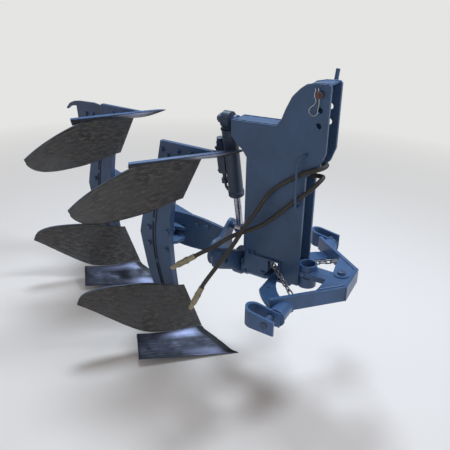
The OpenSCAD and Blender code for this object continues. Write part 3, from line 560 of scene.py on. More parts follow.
def painted_back(tree, uv, soil_side, roughness):
    """The finish of the soil side on the front, and worn blue paint on the back, which is
    told by its UV."""
    back = band(tree, add_node(tree, "SeparateXYZ", {0: uv}).outputs[0], 1.4, 1.5)
    patches, specks = cloud_marks(tree, scale=6.0, speck_scale=150.0)
    paint = mixed(tree, patches, BACK_PAINT, BACK_PAINT_DARK)
    paint = mixed(tree, band(tree, specks, 0.8, 1.0, 0, 0.7), paint, BACK_SPOTS)
    colour = mixed(tree, back, soil_side, paint)
    rough = add_node(tree, "Mix", {0: back, 2: roughness, 3: 0.42}, data_type="FLOAT")
    metal = add_node(tree, "Mix", {0: back, 2: 1.0, 3: 0.0}, data_type="FLOAT")
    return colour, rough.outputs[0], metal.outputs[0]


def board_steel():
    """Dark scoured steel, with dried soil smeared along the board, scratches and pits."""
    material, tree, surface = new_material("soil_steel")
    uv = coordinates(tree, "UV")
    patches, _ = cloud_marks(tree, scale=11.0, speck_scale=120.0)
    _, specks = cloud_marks(tree, scale=34.0, speck_scale=420.0)
    lines = streak_marks(tree, uv, stretch=(7.0, 190.0, 1.0), sharpness=0.16)
    smears = streak_marks(tree, uv, stretch=(26.0, 74.0, 1.0), sharpness=0.13)
    edge_mask, _ = edge_marks(tree, width=0.003, break_up=50.0)
    steel = mixed(tree, patches, BOARD_STEEL, BOARD_STEEL_DARK)
    soil = mixed(tree, specks, SOIL_DARK, SOIL_LIGHT)
    stain = product_of(
        tree, band(tree, patches, 0.20, 0.85, 0.15, 1), band(tree, smears, 0.30, 0.95)
    )
    base = mixed(tree, product_of(tree, stain, 0.85), steel, soil)
    base = mixed(tree, band(tree, lines, 0.66, 1.0, 0, 0.4), base, SCRATCHES)
    base = mixed(tree, band(tree, specks, 0.50, 0.12, 0, 0.8), base, PITS)
    base = mixed(tree, product_of(tree, edge_mask, 0.6), base, BLUED_EDGE)
    roughness = band(tree, stain, 0, 1, 0.40, 0.78)
    relief = sum_of(tree, product_of(tree, lines, 0.3), stain)
    base, roughness, metal = painted_back(tree, uv, base, roughness)
    feed(tree, surface, base, roughness, relief, 0.0006)
    tree.links.new(product_of(tree, metal, 0.3), surface.inputs["Metallic"])
    return material


def cubic(points, t):
    """Point on a cubic curve from the first to the last of four points, which are weighted
    by the four terms of (1 - t + t) cubed."""
    p = np.asarray(points, float)
    t = t[..., None]
    return (1 - t) ** 3 * p[0] + 3 * (1 - t) ** 2 * t * p[1] + 3 * (1 - t) * t**2 * p[2] + t**3 * p[3]


def edge_points(c, s):
    """Edge of two cubic curves, the second going on without a kink from the first."""
    onward = np.array([c[3], 2 * c[3] - c[2], c[4], c[5]])
    first = cubic(c[:4], np.clip(2 * s, 0, 1))
    second = cubic(onward, np.clip(2 * s - 1, 0, 1))
    return np.where((s < 0.5)[..., None], first, second)


def soil_normal(grid):
    """Unit normals of a grid of points, towards the soil."""
    lengthwise = np.gradient(grid, axis=0)
    upward = np.gradient(grid, axis=1)
    n = np.cross(upward, lengthwise)
    return n / np.linalg.norm(n, axis=-1)[..., None]


def plate_from(front, back, uv):
    """Closed plate between two grids of points, with one row of quads round its rim. The
    back's UV lies beyond the front's."""
    rows, columns = front.shape[:2]
    points = np.vstack([front.reshape(-1, 3), back.reshape(-1, 3)])
    f = grid_faces(rows, columns, False)
    b = f[:, ::-1] + rows * columns
    ids = np.arange(rows * columns).reshape(rows, columns)
    rim = np.concatenate([ids[:, 0], ids[-1, 1:], ids[-2::-1, -1], ids[0, -2:0:-1]])
    after = np.roll(rim, -1)
    side = np.stack([rim, after, after + rows * columns, rim + rows * columns], -1)
    faces = np.vstack([f[:, ::-1], b[:, ::-1], side])
    flat_uv = uv.reshape(-1, 2)
    return points, faces.tolist(), np.vstack([flat_uv, flat_uv + [BACK_UV, 0.0]])


def at_body(shape, body):
    """A shape in mm from a lower share's tip, set at one of the four bodies. The upper
    bodies are mirrored in the height of the turnover axis, so their faces turn over."""
    points, faces, uv = shape
    back, side, way = BODIES[body]
    moved = points.copy()
    if way < 0:
        moved[:, 2] = 2 * AXIS_HEIGHT - moved[:, 2]
        faces = [face[::-1] for face in faces]
    return in_place(moved + [back, side, 0]), faces, uv


def face_pieces(kind, shape, material):
    """One plate for each body, in place of the node of its kind."""
    for body in BODIES:
        plate = new_piece(kind + "_face_" + body, at_body(shape, body), material)
        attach(plate, "plough_frame")
        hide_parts(kind + "_" + body)


def moldboard_plate():
    """Surface between its two edges, pulled hollow by the product of two arches."""
    s, t = np.meshgrid(*(np.linspace(0, 1, n) for n in BOARD_STEPS), indexing="ij")
    low, high = edge_points(BOARD_LOW, s), edge_points(BOARD_HIGH, s)
    hollow = BOARD_HOLLOW * 4 * t * (1 - t) * np.sin(np.pi * s)
    front = low + (high - low) * (SEAM_GAP + t * (1 - SEAM_GAP))[..., None]
    front = front + hollow[..., None] * HOLLOW_WAY
    back = front - BOARD_THICK * soil_normal(front)
    return plate_from(front, back, np.stack([s * BOARD_UV[0], t * BOARD_UV[1]], -1))


face_pieces("moldboard", moldboard_plate(), board_steel())


# Shares: flat bars of hardened steel bolted below the moldboards. Soil keeps them bright,
# with long bluish scour lines, painted highlights along the cutting edge and below the seam, and
# painted shade at the landside edge.
SHARE_BACK, SHARE_SIDE, SHARE_EDGE, SHARE_RISE = 325.0, 344.0, 3.0, 33.0
SHARE_THICK, SHARE_CROWN, SHARE_RELIEF = 12.0, 9.0, 17.0
RELIEF_FROM_EDGE, RELIEF_FROM_SEAM = 0.2, 0.25
SHARE_SEAM = np.vstack([BOARD_LOW[:3], [(-407, -258, 95)]])
SHARE_STEPS = 41
SHARE_UV = (0.46, 0.15)
SHARE_STEEL, SHARE_STEEL_PALE = (0.030, 0.033, 0.050, 1), (0.100, 0.108, 0.150, 1)
SCOUR_LINES, SHARE_FILM = (0.26, 0.27, 0.36, 1), (0.022, 0.022, 0.026, 1)
PAINTED_HIGHLIGHT, SHIN_SHADE = (0.44, 0.47, 0.70, 1), (0.020, 0.020, 0.022, 1)


def scoured_steel():
    """Blue-grey steel with scour lines along the edge, a dark film, two bands of painted highlight and
    a strip of painted shade at the landside."""
    material, tree, surface = new_material("share_steel")
    uv = coordinates(tree, "UV")
    patches, _ = cloud_marks(tree, scale=13.0, speck_scale=150.0)
    lines = streak_marks(tree, uv, stretch=(9.0, 260.0, 1.0), sharpness=0.14)
    broad = streak_marks(tree, uv, stretch=(5.0, 34.0, 1.0), sharpness=0.2)
    steel = mixed(tree, broad, SHARE_STEEL, SHARE_STEEL_PALE)
    steel = mixed(tree, band(tree, lines, 0.62, 1.0, 0, 0.4), steel, SCOUR_LINES)
    film = band(tree, patches, 0.35, 0.9, 0, 0.8)
    base = mixed(tree, film, steel, SHARE_FILM)
    apart = add_node(tree, "SeparateXYZ", {0: uv})
    along_edge, up_face = apart.outputs[0], apart.outputs[1]
    # Painted highlights: a pale blue-white band below the seam and one along the cutting edge.
    by_seam = product_of(
        tree, band(tree, up_face, 0.095, 0.125), band(tree, up_face, 0.150, 0.138)
    )
    by_seam = product_of(tree, by_seam, band(tree, along_edge, 0.36, 0.22))
    by_edge = product_of(
        tree, band(tree, up_face, 0.045, 0.008), band(tree, along_edge, 0.25, 0.12)
    )
    highlight_mask = sum_of(tree, by_seam, by_edge)
    highlight_mask = product_of(tree, highlight_mask, band(tree, along_edge, 0.03, 0.09))
    highlight_mask = product_of(tree, highlight_mask, band(tree, broad, 0, 0.7, 0.35, 1))
    base = mixed(tree, highlight_mask, base, PAINTED_HIGHLIGHT)
    # Painted shade: a near-black strip at the landside edge of the share.
    base = mixed(tree, band(tree, along_edge, 0.060, 0.035), base, SHIN_SHADE)
    roughness = band(tree, sum_of(tree, film, broad), 0, 1.6, 0.30, 0.62)
    base, roughness, metal = painted_back(tree, uv, base, roughness)
    feed(tree, surface, base, roughness, lines, 0.0003)
    tree.links.new(product_of(tree, metal, 0.75), surface.inputs["Metallic"])
    return material


def share_plate():
    """Ruled from the straight cutting edge to the seam below the moldboard, with a sine
    crown, and drawn in at the landside edge by two quarter sines."""
    steps = np.linspace(0, 1, SHARE_STEPS)
    s, v = np.meshgrid(steps, steps, indexing="ij")
    edge = np.stack([-SHARE_BACK * s, -SHARE_SIDE * s, SHARE_EDGE + SHARE_RISE * s], -1)
    seam = cubic(SHARE_SEAM, s)
    front = edge + (seam - edge) * v[..., None]
    arch = np.sin(np.pi / 2 * np.clip(v / RELIEF_FROM_EDGE, 0, 1))
    arch = arch * np.sin(np.pi / 2 * np.clip((1 - v) / RELIEF_FROM_SEAM, 0, 1))
    front[..., 1] -= SHARE_RELIEF * arch * (1 - s) ** 2
    front[..., 2] += SHARE_CROWN * np.sin(np.pi * v) * (1 - 0.5 * s)
    back = front - SHARE_THICK * soil_normal(front)
    back[0, :, 1] = front[0, :, 1]
    back[..., 2] = np.maximum(back[..., 2], 0)
    back[:, 0] = front[:, 0] - [0, 0, SHARE_EDGE]
    return plate_from(front, back, np.stack([s * SHARE_UV[0], v * SHARE_UV[1]], -1))


face_pieces("share", share_plate(), scoured_steel())


# Tower: weld beads where the strip, web, housing and tongue meet the plates, two nuts on
# the far plate, and the wire clip that locks the link pin, whose near end has rusted bare.
NEARWARD, FARWARD, UPWARD = (0, -1, 0), (0, 1, 0), (0, 0, 1)
WASHER, HEAD_TURN = 0.002, 0.3
BEAD_PITCH, BEAD_SIDES, RING_STEPS = 0.0035, 10, 72
PLATE_OUT, PLATE_IN = 52.0, 40.0
STRIP_LINE = [
    (-38, 1141.5), (165, 1149.5), (184, 1175.5), (200, 1218.5), (223, 1266.5), (252, 1297.5),
    (278, 1316.5), (314, 1325.5), (366, 1329.5),
]
WEB_LINE = [(38, 584), (38, 800), (38, 995)]
FOOT_LINE = [(39, 583), (90, 583), (132, 583)]
NOTCH_LINE = [(132.5, 583), (132.5, 550), (132.5, 524)]
TONGUE_LINE = [(304, 532), (330, 532), (350, 532)]
# Each seam's line, its distance out from the tower's middle, and its radius.
TOWER_SEAMS = [
    (STRIP_LINE, PLATE_IN + 1, 0.0025), (WEB_LINE, PLATE_IN - 1, 0.0035),
    (FOOT_LINE, PLATE_OUT, 0.0035), (NOTCH_LINE, PLATE_OUT, 0.003),
    (TONGUE_LINE, PLATE_IN + 1, 0.003),
]
SOCKET_SEAM, SOCKET_SEAM_R = (320, 0, 557.5), 40
CLIP_STRAIGHT = [(330, 1313), (333, 1296), (336, 1275), (337, 1256)]
CLIP_WAVED = [(318, 1252), (325, 1262), (325, 1272), (320, 1283), (319, 1294), (322, 1303), (320, 1312)]
CLIP_LOOP_X, CLIP_LOOP_Z, CLIP_LOOP_R = 318, 1230, 17
CLIP_OUT, CLIP_CROSSING, CLIP_WIRE = 61, 4.5, 0.0019
PIN_END = [(0, 0.0127), (0.0012, 0.0127), (0.0026, 0.0118), (0.0032, 0.0095)]
PIN_END_AT = (337, -63.2, 1289.94)
FAR_NUTS = [(150, 62.2, 553), (206, 62.2, 553)]


def hex_bolt(at, axis, across, tall, washer=WASHER, spin=HEAD_TURN):
    """Round washer and hexagon head with a turned top, seated at a point."""
    disc = turned([(0, across * 0.72), (washer * 0.8, across * 0.74), (washer, across * 0.70)], 28)
    r = across / 2 / np.cos(np.pi / 6)
    head = [(washer, r * 0.98), (washer + 0.0006, r), (washer + tall * 0.82, r)]
    head.append((washer + tall, r * 0.86))
    return set_down(joined([disc, turned(head, 36, HEXAGON)]), at, axis, spin)


def hex_nut(at, axis, across, tall, stud):
    """Nut on a washer with the end of its thread standing out."""
    top = WASHER + tall * 1.35
    rows = np.arange(WASHER + tall, top, 0.0006)
    thread = [(0.0, stud)]
    thread += [(h, stud * (1.0 if k % 2 else 0.9)) for k, h in enumerate(rows)]
    thread += [(top, stud * 0.85)]
    return joined([hex_bolt(at, axis, across, tall), set_down(turned(thread, 20), at, axis)])


def weld_bead(route, r, aside=ACROSS):
    """Fillet of weld metal along a route, rippled by a sine at the pitch of its pools and by
    a slower one, and drawn in at both ends."""
    route = np.asarray(route, float)
    _, walked = along(route)
    count = max(12, int(walked[-1] / BEAD_PITCH * 4))
    at = np.linspace(0, walked[-1], count)
    path = np.stack([np.interp(at, walked, route[:, k]) for k in range(3)], -1)
    ripple = 1.0 + 0.10 * np.abs(np.sin(np.pi * at / BEAD_PITCH)) + 0.08 * np.sin(at * 130.0)
    ends = np.clip(np.minimum(at, walked[-1] - at) / (2 * r), 0.35, 1.0)
    return swept_tube(path, r * ripple * ends, BEAD_SIDES, aside)


def ring_route(centre, axis, r):
    """Points round a circle about an axis through its centre, the last on the first."""
    turn = np.linspace(0, 2 * np.pi, RING_STEPS)
    frame_of = np.array(Vector(axis).to_track_quat("Z", "Y").to_matrix())
    flat = np.stack([r * np.cos(turn), r * np.sin(turn), np.zeros(RING_STEPS)], -1)
    return flat @ frame_of.T + np.asarray(centre, float)


def gather(name, parts, material, body, smooth=False):
    """Small parts of one finish on one moving body, in one mesh."""
    piece = new_piece(name, joined(parts), material, smooth)
    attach(piece, body)
    return piece


def clip_wire():
    """Hairpin clip: a straight leg through the pin, a round loop below it and a waved leg
    that hugs the pin's rim."""
    bend = np.radians(np.arange(20, -260, -20))
    loop = [
        (CLIP_LOOP_X + CLIP_LOOP_R * np.cos(a), CLIP_LOOP_Z + CLIP_LOOP_R * np.sin(a)) for a in bend
    ]
    flat = CLIP_STRAIGHT + loop + CLIP_WAVED
    crossing = np.linspace(0, CLIP_CROSSING, len(flat))
    route = [(x, -CLIP_OUT - c, z) for (x, z), c in zip(flat, crossing)]
    return swept_tube(smooth_line(in_place(route), 6), CLIP_WIRE, 10)


tower_welds = [
    weld_bead(in_place([(x, side * out, z) for x, z in line]), size)
    for side in (-1, 1)
    for line, out, size in TOWER_SEAMS
]
socket_ring = in_place(ring_route(SOCKET_SEAM, UPWARD, SOCKET_SEAM_R))
tower_welds.append(weld_bead(socket_ring, r=0.0025, aside=UPWARD))
gather("tower_welds", tower_welds, frame_paint, "headstock", smooth=True)

bare_steel = plated_steel(
    "bare_steel", colour=(0.50, 0.50, 0.52, 1), dark=(0.30, 0.29, 0.28, 1), metal=0.9, rough=0.28
)
rusty_steel = plated_steel(
    "rusty_steel", colour=(0.20, 0.085, 0.055, 1), dark=(0.085, 0.038, 0.026, 1), metal=0.2,
    rough=0.6,
)
gather("link_pin_clip", [clip_wire()], bare_steel, "headstock", smooth=True)
pin_end = set_down(turned(PIN_END, 40), in_place(PIN_END_AT), NEARWARD)
gather("link_pin_end", [pin_end], rusty_steel, "headstock")
far_nuts = [
    hex_nut(in_place(at), FARWARD, across=0.024, tall=0.013, stud=0.008) for at in FAR_NUTS
]
gather("tower_bolts", far_nuts, frame_paint, "headstock")


# Retaining chains: short-link chain of round wire from the lugs at the notch. Each link is
# a swept loop, a quarter turn from the last.
LINK_WIDTH, LINK_WIRE, LINK_PLAY, LINK_STEPS = 0.022, 0.0032, 0.0005, 49
NEAR_CHAIN = ((190, -62, 568), (329, -154, 512), 7)
FAR_CHAIN = ((292, 66, 547), (390, 138, 556), 5)
LUGS = [((180, -64, 551), (188, -52, 577)), ((288, 52, 536), (296, 66, 558))]
BOX_FACES = [[0, 1, 3, 2], [4, 6, 7, 5], [0, 4, 5, 1], [2, 3, 7, 6], [0, 2, 6, 4], [1, 5, 7, 3]]


def chain_between(start, end, count):
    """Links at an even pitch from start to end. A link's line is two straight sides joined
    by half circles."""
    start, end = in_place(start), in_place(end)
    way = (end - start) / np.linalg.norm(end - start)
    pitch = np.linalg.norm(end - start) / count
    length = pitch + 4 * LINK_WIRE + LINK_PLAY
    level = np.cross(UPWARD, way)
    level /= np.linalg.norm(level)
    upright = np.cross(way, level)
    bend, straight = LINK_WIDTH / 2 - LINK_WIRE, (length - LINK_WIDTH) / 2
    turn = np.linspace(0, 2 * np.pi, LINK_STEPS)
    u = np.where(np.cos(turn) > 0, straight, -straight) + bend * np.cos(turn)
    u[np.abs(np.cos(turn)) < 1e-9] = 0.0
    v = bend * np.sin(turn)
    links = []
    for k in range(count):
        across, face = (level, upright) if k % 2 == 0 else (upright, -level)
        middle = start + way * pitch * (k + 0.5)
        loop = middle + u[:, None] * way + v[:, None] * across
        links.append(swept_tube(loop, LINK_WIRE, 12, face))
    return links


def lug_between(low, high):
    """Plain block between two opposite corners, welded on a tower plate."""
    spans = zip(in_place(low), in_place(high))
    corners = np.stack(np.meshgrid(*spans, indexing="ij"), -1).reshape(-1, 3)
    return corners, BOX_FACES, np.zeros((8, 2))


plain_steel = plated_steel(
    "plain_steel", colour=(0.30, 0.31, 0.34, 1), dark=(0.13, 0.12, 0.12, 1), metal=0.8, rough=0.34
)
chain_parts = chain_between(*NEAR_CHAIN) + chain_between(*FAR_CHAIN)
chain_parts += [lug_between(low, high) for low, high in LUGS]
chain = gather("chain_links", chain_parts, plain_steel, "headstock", smooth=True)
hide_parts("retaining_chains")


# Cylinder: gland ring at the barrel's foot, collar below its head and weld ring at the
# eye, port bosses with a union, and the steel pipe from the valve block to the foot.
CYLINDER_TOP = np.array([-84.0, -4.0, 1125.0])
CYLINDER_TILT = np.arctan2(122.0, 530.0)
BARREL_R = 0.0325
REARWARD = (-1, 0, 0)
RING_SIDES = 64
BARREL_FOOT, COLLAR_FOOT, EYE_FOOT = -365, -90, -40
PORT_ROOT, PORT_R, PORTS = -24, 0.011, [(-44, -342), (-40, -118)]
UNION_AT = (-52.5, 0, -110)
GLAND_PROFILE = [
    (0, 0.0168), (0, 0.0335), (0.002, 0.0355), (0.022, 0.0355), (0.024, 0.0335),
    (0.0255, BARREL_R), (0.0255, 0.0168),
]
COLLAR_PROFILE = [
    (0, 0.0315), (0, BARREL_R), (0.0015, 0.0345), (0.010, 0.0345), (0.0115, BARREL_R),
    (0.0115, 0.0315),
]
PIPE_ROUTE = [(-52, 0, -312), (-52, 0, -326), (-50, 0, -338), (-44, 0, -342), (-30, 0, -342)]
PIPE_R = 0.006
VALVE_SCREWS = [(-68.6, y, z) for z in (-250, -138) for y in (-12, 12)]
PIN_THREAD = [(k * 0.0006, 0.0125 if k % 2 else 0.0114) for k in range(16)] + [(0.0104, 0.0105)]
PIN_THREAD_AT = (-121.8, -4, 1125)


def tilted(points):
    """Points or directions turned about X by the cylinder's tilt at rest."""
    p = np.asarray(points, float)
    c, s = np.cos(CYLINDER_TILT), np.sin(CYLINDER_TILT)
    return np.stack([p[..., 0], c * p[..., 1] - s * p[..., 2], s * p[..., 1] + c * p[..., 2]], -1)


def on_cylinder(points_mm):
    """Points drawn with the cylinder upright below its pin, tilted to its rest."""
    return in_place(CYLINDER_TOP + tilted(points_mm))


def turned_ring(profile):
    """Ring of revolution about Z from a closed loop of (height, radius) pairs, up the
    outside and down the inside. Its last row of points is its first."""
    points, faces, uv = turned(profile + profile[:1], RING_SIDES)
    count = len(profile) * RING_SIDES
    return points[:count], [[v % count for v in face] for face in faces[:-2]], uv[:count]


def pin_between(a, b, r, sides=20, chamfer=0.001):
    """Round bar between two points, its ends bevelled."""
    a, b = np.asarray(a, float), np.asarray(b, float)
    way = (b - a) / np.linalg.norm(b - a)
    path = [a, a + chamfer * way, a + 2 * chamfer * way]
    path += [b - 2 * chamfer * way, b - chamfer * way, b]
    radii = [r - chamfer, r - 0.25 * chamfer, r, r, r - 0.25 * chamfer, r - chamfer]
    aside = ACROSS if abs(way[1]) < 0.8 else (1.0, 0.0, 0.0)
    return swept_tube(path, radii, sides, aside)


UP = tilted(UPWARD)
OUT = tilted(REARWARD)
cylinder_parts = [
    set_down(turned_ring(GLAND_PROFILE), on_cylinder((0, 0, BARREL_FOOT)), UP),
    set_down(turned_ring(COLLAR_PROFILE), on_cylinder((0, 0, COLLAR_FOOT)), UP),
    weld_bead(ring_route(on_cylinder((0, 0, EYE_FOOT)), UP, BARREL_R), r=0.003, aside=UP),
]
for end, height in PORTS:
    boss = on_cylinder([(PORT_ROOT, 0, height), (end, 0, height)])
    cylinder_parts.append(pin_between(*boss, PORT_R))
cylinder_parts.append(hex_nut(on_cylinder(UNION_AT), UP, across=0.022, tall=0.010, stud=0.007))
cylinder_parts.append(swept_tube(smooth_line(on_cylinder(PIPE_ROUTE), 8), PIPE_R))
for at in VALVE_SCREWS:
    cylinder_parts.append(hex_bolt(on_cylinder(at), OUT, across=0.010, tall=0.005, washer=0.001))
gather("cylinder_fittings", cylinder_parts, dark_paint, "cylinder")
pin_thread = set_down(turned(PIN_THREAD, 28), in_place(PIN_THREAD_AT), REARWARD)
gather("cylinder_pin_thread", [pin_thread], frame_paint, "headstock")


# Hitch frame: the same enamel, painted lighter as painted light for the stronger light that falls on
# it, and glossier, with weld beads where the plates meet the arms and the tubes meet the brackets, the
# pivot bolt's turned end, and the pins of the lower links in their brackets.
HITCH_PIVOT = np.array([468.0, 0.0, 0.0])
HITCH_SWING = np.radians(7.2)
HITCH_SEAMS = [
    ([(40, 67, 577.5), (-52, 159, 577.5)], 0.0042),
    ([(40, 67, 514.5), (-52, 159, 514.5)], 0.0042),
    ([(-122, 229, 516), (-170, 277, 516)], 0.0045),
    ([(42, 66, 517), (42, 66, 575)], 0.003),
]
HITCH_FRONT_SEAM = [(42, -64, 577), (42, 64, 577)]
BRACKET_SEAM, BRACKET_SEAM_R = (-146, 337, 527), 0.0345
LINK_PIN, LINK_PIN_R = [(-162, 336, 531), (-162, 415, 531)], 0.0141
PIVOT_END = [(0, 0.0156), (0.0010, 0.0158), (0.0035, 0.0142), (0.0050, 0.0105)]
PIVOT_END_AT = (468, 0, 590)
# What carries the hitch frame has the same lighter paint, the same painted light.
HITCH_FRAME_NODES = {
    "hitch_plates", "hitch_arm_near", "hitch_arm_far", "swing_band",
    "link_bracket_near", "link_bracket_far", "pivot_bolt", "foot_socket", "tower_tongue",
}


def on_hitch(points_mm):
    """Points drawn with the hitch frame straight and its pivot at zero, turned to its rest."""
    p = np.asarray(points_mm, float)
    c, s = np.cos(HITCH_SWING), np.sin(HITCH_SWING)
    swung = np.stack([c * p[..., 0] - s * p[..., 1], s * p[..., 0] + c * p[..., 1], p[..., 2]], -1)
    return in_place(HITCH_PIVOT + swung)


# A lighter copy of the frame paint: painted light for the hitch frame, which stands in stronger light.
lit_hitch_paint = brushed_paint(
    "lit_hitch_paint", light=(0.054, 0.118, 0.262, 1), dark=(0.036, 0.074, 0.152, 1), gloss=0.24,
    dirt=0.6,
)
hitch_welds, hitch_pins = [], []
for side in (-1, 1):
    mirror = np.array([1, side, 1])
    hitch_welds += [weld_bead(on_hitch(mirror * line), size) for line, size in HITCH_SEAMS]
    outward = np.array([-np.sin(HITCH_SWING), np.cos(HITCH_SWING), 0.0]) * side
    ring = ring_route(on_hitch(mirror * BRACKET_SEAM), outward, BRACKET_SEAM_R)
    hitch_welds.append(weld_bead(ring, r=0.0032, aside=outward))
    link_pin = on_hitch(mirror * LINK_PIN)
    hitch_pins.append(pin_between(*link_pin, LINK_PIN_R, sides=40, chamfer=0.0012))
hitch_welds.append(weld_bead(on_hitch(HITCH_FRONT_SEAM), r=0.0035))
hitch_pins.append(set_down(turned(PIVOT_END, 40), in_place(PIVOT_END_AT), UPWARD))
gather("hitch_welds", hitch_welds, lit_hitch_paint, "hitch_frame", smooth=True)
gather("hitch_pins", hitch_pins, worn_paint, "hitch_frame")


# Beam: bolts and weld beads on the arched plate, round the shaft at the crank plate and
# along the shelves that carry the legs, and six bolts through the flanges. Each head is
# turned by its place, so that no two stand alike.
FORWARD = (1, 0, 0)
SPIN_BY_PLACE = 0.1
PLATE_FACE = 104
PLATE_BOLTS = [(-260, 553, 0.024), (-318, 550, 0.019), (-176, 530, 0.019), (-176, 480, 0.019)]
SHAFT_SEAM, SHAFT_SEAM_R = (-127, 0, 505), 0.031
SEAM_Y = PLATE_FACE - 0.5
CRANK_SEAM_X, CRANK_SEAM_ENDS = -144, (448, 562)
SHELF_REAR = -466
SHELF_SEAMS = [(535, -345), (519, -345), (491, -384), (475, -384)]
FLANGE_FACE, FLANGE_BOLT_CIRCLE = 35, 50

beam_parts = [
    hex_bolt(in_place((x, PLATE_FACE, z)), NEARWARD, across, tall=0.010, spin=x * SPIN_BY_PLACE)
    for x, z, across in PLATE_BOLTS
]
shaft_ring = ring_route(in_place(SHAFT_SEAM), FORWARD, SHAFT_SEAM_R)
beam_parts.append(weld_bead(shaft_ring, r=0.004, aside=FORWARD))
crank_seam = in_place([(CRANK_SEAM_X, SEAM_Y, z) for z in CRANK_SEAM_ENDS])
beam_parts.append(weld_bead(crank_seam, r=0.004))
for z, ahead in SHELF_SEAMS:
    shelf = in_place([(SHELF_REAR, SEAM_Y, z), (ahead, SEAM_Y, z)])
    beam_parts.append(weld_bead(shelf, r=0.003))
for turn in np.radians(np.arange(30, 390, 60)):
    y = FLANGE_BOLT_CIRCLE * np.cos(turn)
    z = AXIS_HEIGHT + FLANGE_BOLT_CIRCLE * np.sin(turn)
    at = in_place((FLANGE_FACE, y, z))
    beam_parts.append(hex_bolt(at, REARWARD, across=0.017, tall=0.008, washer=0.001, spin=turn))
gather("beam_details", beam_parts, frame_paint, "plough_frame")


# Legs and bodies: bolts through leg and frog, through landside and frog, and the seams
# behind and on the doubler, painted near black as painted shade in the gaps there. The leg shelves are
# welded on above and below the beam, their seams painted the same dark as painted shade.
LEG_BOLTS = [
    (-460, -32, 592), (-504, -32, 541), (-505, -32, 458), (-449, -32, 378),
    (-382, -44, 550), (-392, -44, 454),
]
LANDSIDE_BOLTS = {
    (0.0, 0.0): [(-410, 944), (-379, 921), (-322, 949), (-252, 952)],
    (-682.0, 335.0): [
        (-560, 883), (-557, 908), (-507, 910), (-424, 935), (-410, 917), (-339, 945),
        (-279, 950), (-211, 958),
    ],
}
LEG_FAR_FACE, SHELF_FACE = 12, 13
FROG_FACE, FROG_REAR = 32, -420
FLUSH_END = [(0, 0.0085), (0.0006, 0.0085), (0.0010, 0.0075)]
DOUBLER_LINE = [
    (-400, 202), (-420, 260), (-452, 380), (-464, 505), (-452, 630), (-420, 750), (-400, 808),
]
# How far each seam lies behind the doubler's line and out from the leg, and its radius.
DOUBLER_SEAMS = [(17, 33.0, 0.0035), (-7, 44.5, 0.0030)]
CLAMP_SEAMS = [(x, z) for z in (471, 539) for x in (-545, -470)]
CLAMP_SEAM_LENGTH = 60

bolts, seams = [], []
for back, side in LANDSIDE_BOLTS:
    for x, y, z in LEG_BOLTS:
        head = in_place((x + back, y + side, z))
        bolts.append(hex_bolt(head, NEARWARD, across=0.022, tall=0.009, spin=x * SPIN_BY_PLACE))
        end = in_place((x + back, side - LEG_FAR_FACE, z))
        bolts.append(hex_nut(end, FARWARD, across=0.022, tall=0.011, stud=0.007))
    for x, z in LANDSIDE_BOLTS[(back, side)]:
        near_face = side - (FROG_FACE if x > FROG_REAR else LEG_FAR_FACE)
        for height in (z, 2 * AXIS_HEIGHT - z):
            head = in_place((x + back, near_face, height))
            bolts.append(
                hex_bolt(head, NEARWARD, 0.017, 0.008, washer=0.001, spin=x * SPIN_BY_PLACE)
            )
            end = in_place((x + back, side, height))
            bolts.append(set_down(turned(FLUSH_END, 24), end, FARWARD))
    for behind, out, size in DOUBLER_SEAMS:
        seam = in_place([(x + back - behind, side - out, z) for x, z in DOUBLER_LINE])
        seams.append(weld_bead(smooth_line(seam, 12), size))
    for x, z in CLAMP_SEAMS:
        y = side - SHELF_FACE
        seam = in_place([(x + back, y, z), (x + back + CLAMP_SEAM_LENGTH, y, z)])
        seams.append(weld_bead(seam, r=0.0035))
gather("body_bolts", bolts, frame_paint, "plough_frame")
# Near-black paint on the leg seams: painted shade in the gaps at the doubler and along the shelves.
seam_shade_paint = brushed_paint(
    "seam_shade_paint", light=(0.020, 0.030, 0.054, 1), dark=(0.012, 0.016, 0.026, 1), gloss=0.45,
    dirt=0.9,
)
gather("body_welds", seams, seam_shade_paint, "plough_frame", smooth=True)


# Plates, tubes, pins and castings whose shapes come with the frame: each takes the finish
# of its slot, and those of the hitch frame take its own paint.
FINISH_OF_SLOT = {
    "frame_paint": frame_paint,
    "dark_paint": dark_paint,
    "worn_paint": worn_paint,
    "plain_steel": plain_steel,
    "zinc": zinc,
    "chrome_rod": chrome,
}
slot_of_node = {p["node"]: p["material_slot"] for p in frame["record"]["subparts"]}
for name, node in nodes.items():
    finish = FINISH_OF_SLOT.get(slot_of_node[name])
    if name in HITCH_FRAME_NODES:
        finish = lit_hitch_paint
    if finish is not None:
        node.data.materials.clear()
        node.data.materials.append(finish)


# Floor and light: a plain pale floor that fades into the background, two broad soft lamps
# overhead on the far side, and two weaker ones behind and ahead on the near side.
FLOOR_HALF = 14.0
FLOOR_COLOUR, FLOOR_ROUGHNESS = (0.72, 0.65, 0.60, 1), 0.85
FLOOR_FADES_FROM, FLOOR_FADES_TO = 1.6, 4.2
BACKGROUND = (0.78, 0.78, 0.77, 1)
ROOM_LIGHT, ROOM_STRENGTH = (0.93, 0.95, 1.0, 1), 0.30
LAMP_AIM = Vector((0, 0, 0.6))
# Each lamp's place, width, power and colour.
LAMPS = [
    ("overhead", (-0.7, 1.1, 3.8), 1.2, 110.0, (0.70, 0.85, 1.0)),
    ("ceiling", (1.9, 0.9, 3.3), 0.9, 75.0, (0.74, 0.86, 1.0)),
    ("side", (-2.8, -1.6, 2.4), 1.8, 14.0, (1.0, 0.97, 0.93)),
    ("front", (2.6, -3.0, 1.8), 2.2, 20.0, (0.98, 0.98, 1.0)),
]

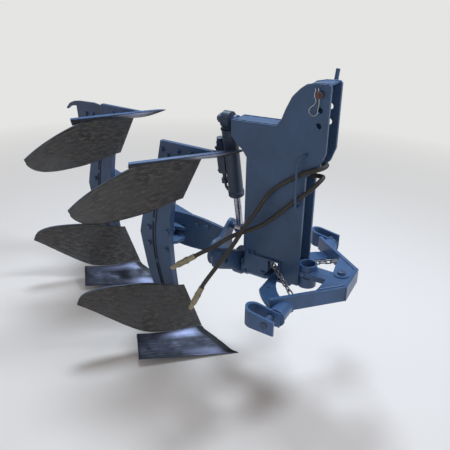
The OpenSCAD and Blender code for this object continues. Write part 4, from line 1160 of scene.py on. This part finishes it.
floor_mesh = bpy.data.meshes.new("floor")
floor_mesh.from_pydata(
    [(-FLOOR_HALF, -FLOOR_HALF, 0), (FLOOR_HALF, -FLOOR_HALF, 0),
     (FLOOR_HALF, FLOOR_HALF, 0), (-FLOOR_HALF, FLOOR_HALF, 0)],
    [], [(0, 1, 2, 3)],
)
floor = bpy.data.objects.new("floor", floor_mesh)
bpy.context.scene.collection.objects.link(floor)
floor_finish, floor_tree, floor_surface = new_material("pale_floor")
floor_surface.inputs["Base Color"].default_value = FLOOR_COLOUR
floor_surface.inputs["Roughness"].default_value = FLOOR_ROUGHNESS
floor_far = add_node(
    floor_tree, "VectorMath", {0: coordinates(floor_tree, "Object")}, operation="LENGTH"
)
floor_fade = band(floor_tree, floor_far.outputs["Value"], FLOOR_FADES_FROM, FLOOR_FADES_TO)
floor_glow = add_node(floor_tree, "Emission", {"Color": BACKGROUND, "Strength": 1.0})
floor_mix = add_node(
    floor_tree, "MixShader",
    {0: floor_fade, 1: floor_surface.outputs[0], 2: floor_glow.outputs[0]},
)
floor_out = next(n for n in floor_tree.nodes if n.type == "OUTPUT_MATERIAL")
floor_tree.links.new(floor_mix.outputs[0], floor_out.inputs["Surface"])
floor_mesh.materials.append(floor_finish)

world = bpy.data.worlds.new("room")
bpy.context.scene.world = world
world.use_nodes = True
sky = world.node_tree
sky.nodes.clear()
seen = add_node(sky, "LightPath").outputs
direct = worked_out(sky, "MAXIMUM", seen["Is Camera Ray"], seen["Is Transmission Ray"])
light = add_node(sky, "Background", {"Color": ROOM_LIGHT, "Strength": ROOM_STRENGTH})
pale = add_node(sky, "Background", {"Color": BACKGROUND, "Strength": 1.0})
both = add_node(sky, "MixShader", {0: direct, 1: light.outputs[0], 2: pale.outputs[0]})
sky_out = sky.nodes.new("ShaderNodeOutputWorld")
sky.links.new(both.outputs[0], sky_out.inputs["Surface"])

for name, at, size, power, colour in LAMPS:
    lamp = bpy.data.objects.new(name, bpy.data.lights.new(name, "AREA"))
    lamp.data.shape = "DISK"
    lamp.data.size = size
    lamp.data.energy = power
    lamp.data.color = colour
    lamp.location = at
    lamp.rotation_euler = (LAMP_AIM - Vector(at)).to_track_quat("-Z", "Y").to_euler()
    bpy.context.scene.collection.objects.link(lamp)

bpy.context.scene.view_settings.view_transform = "Standard"
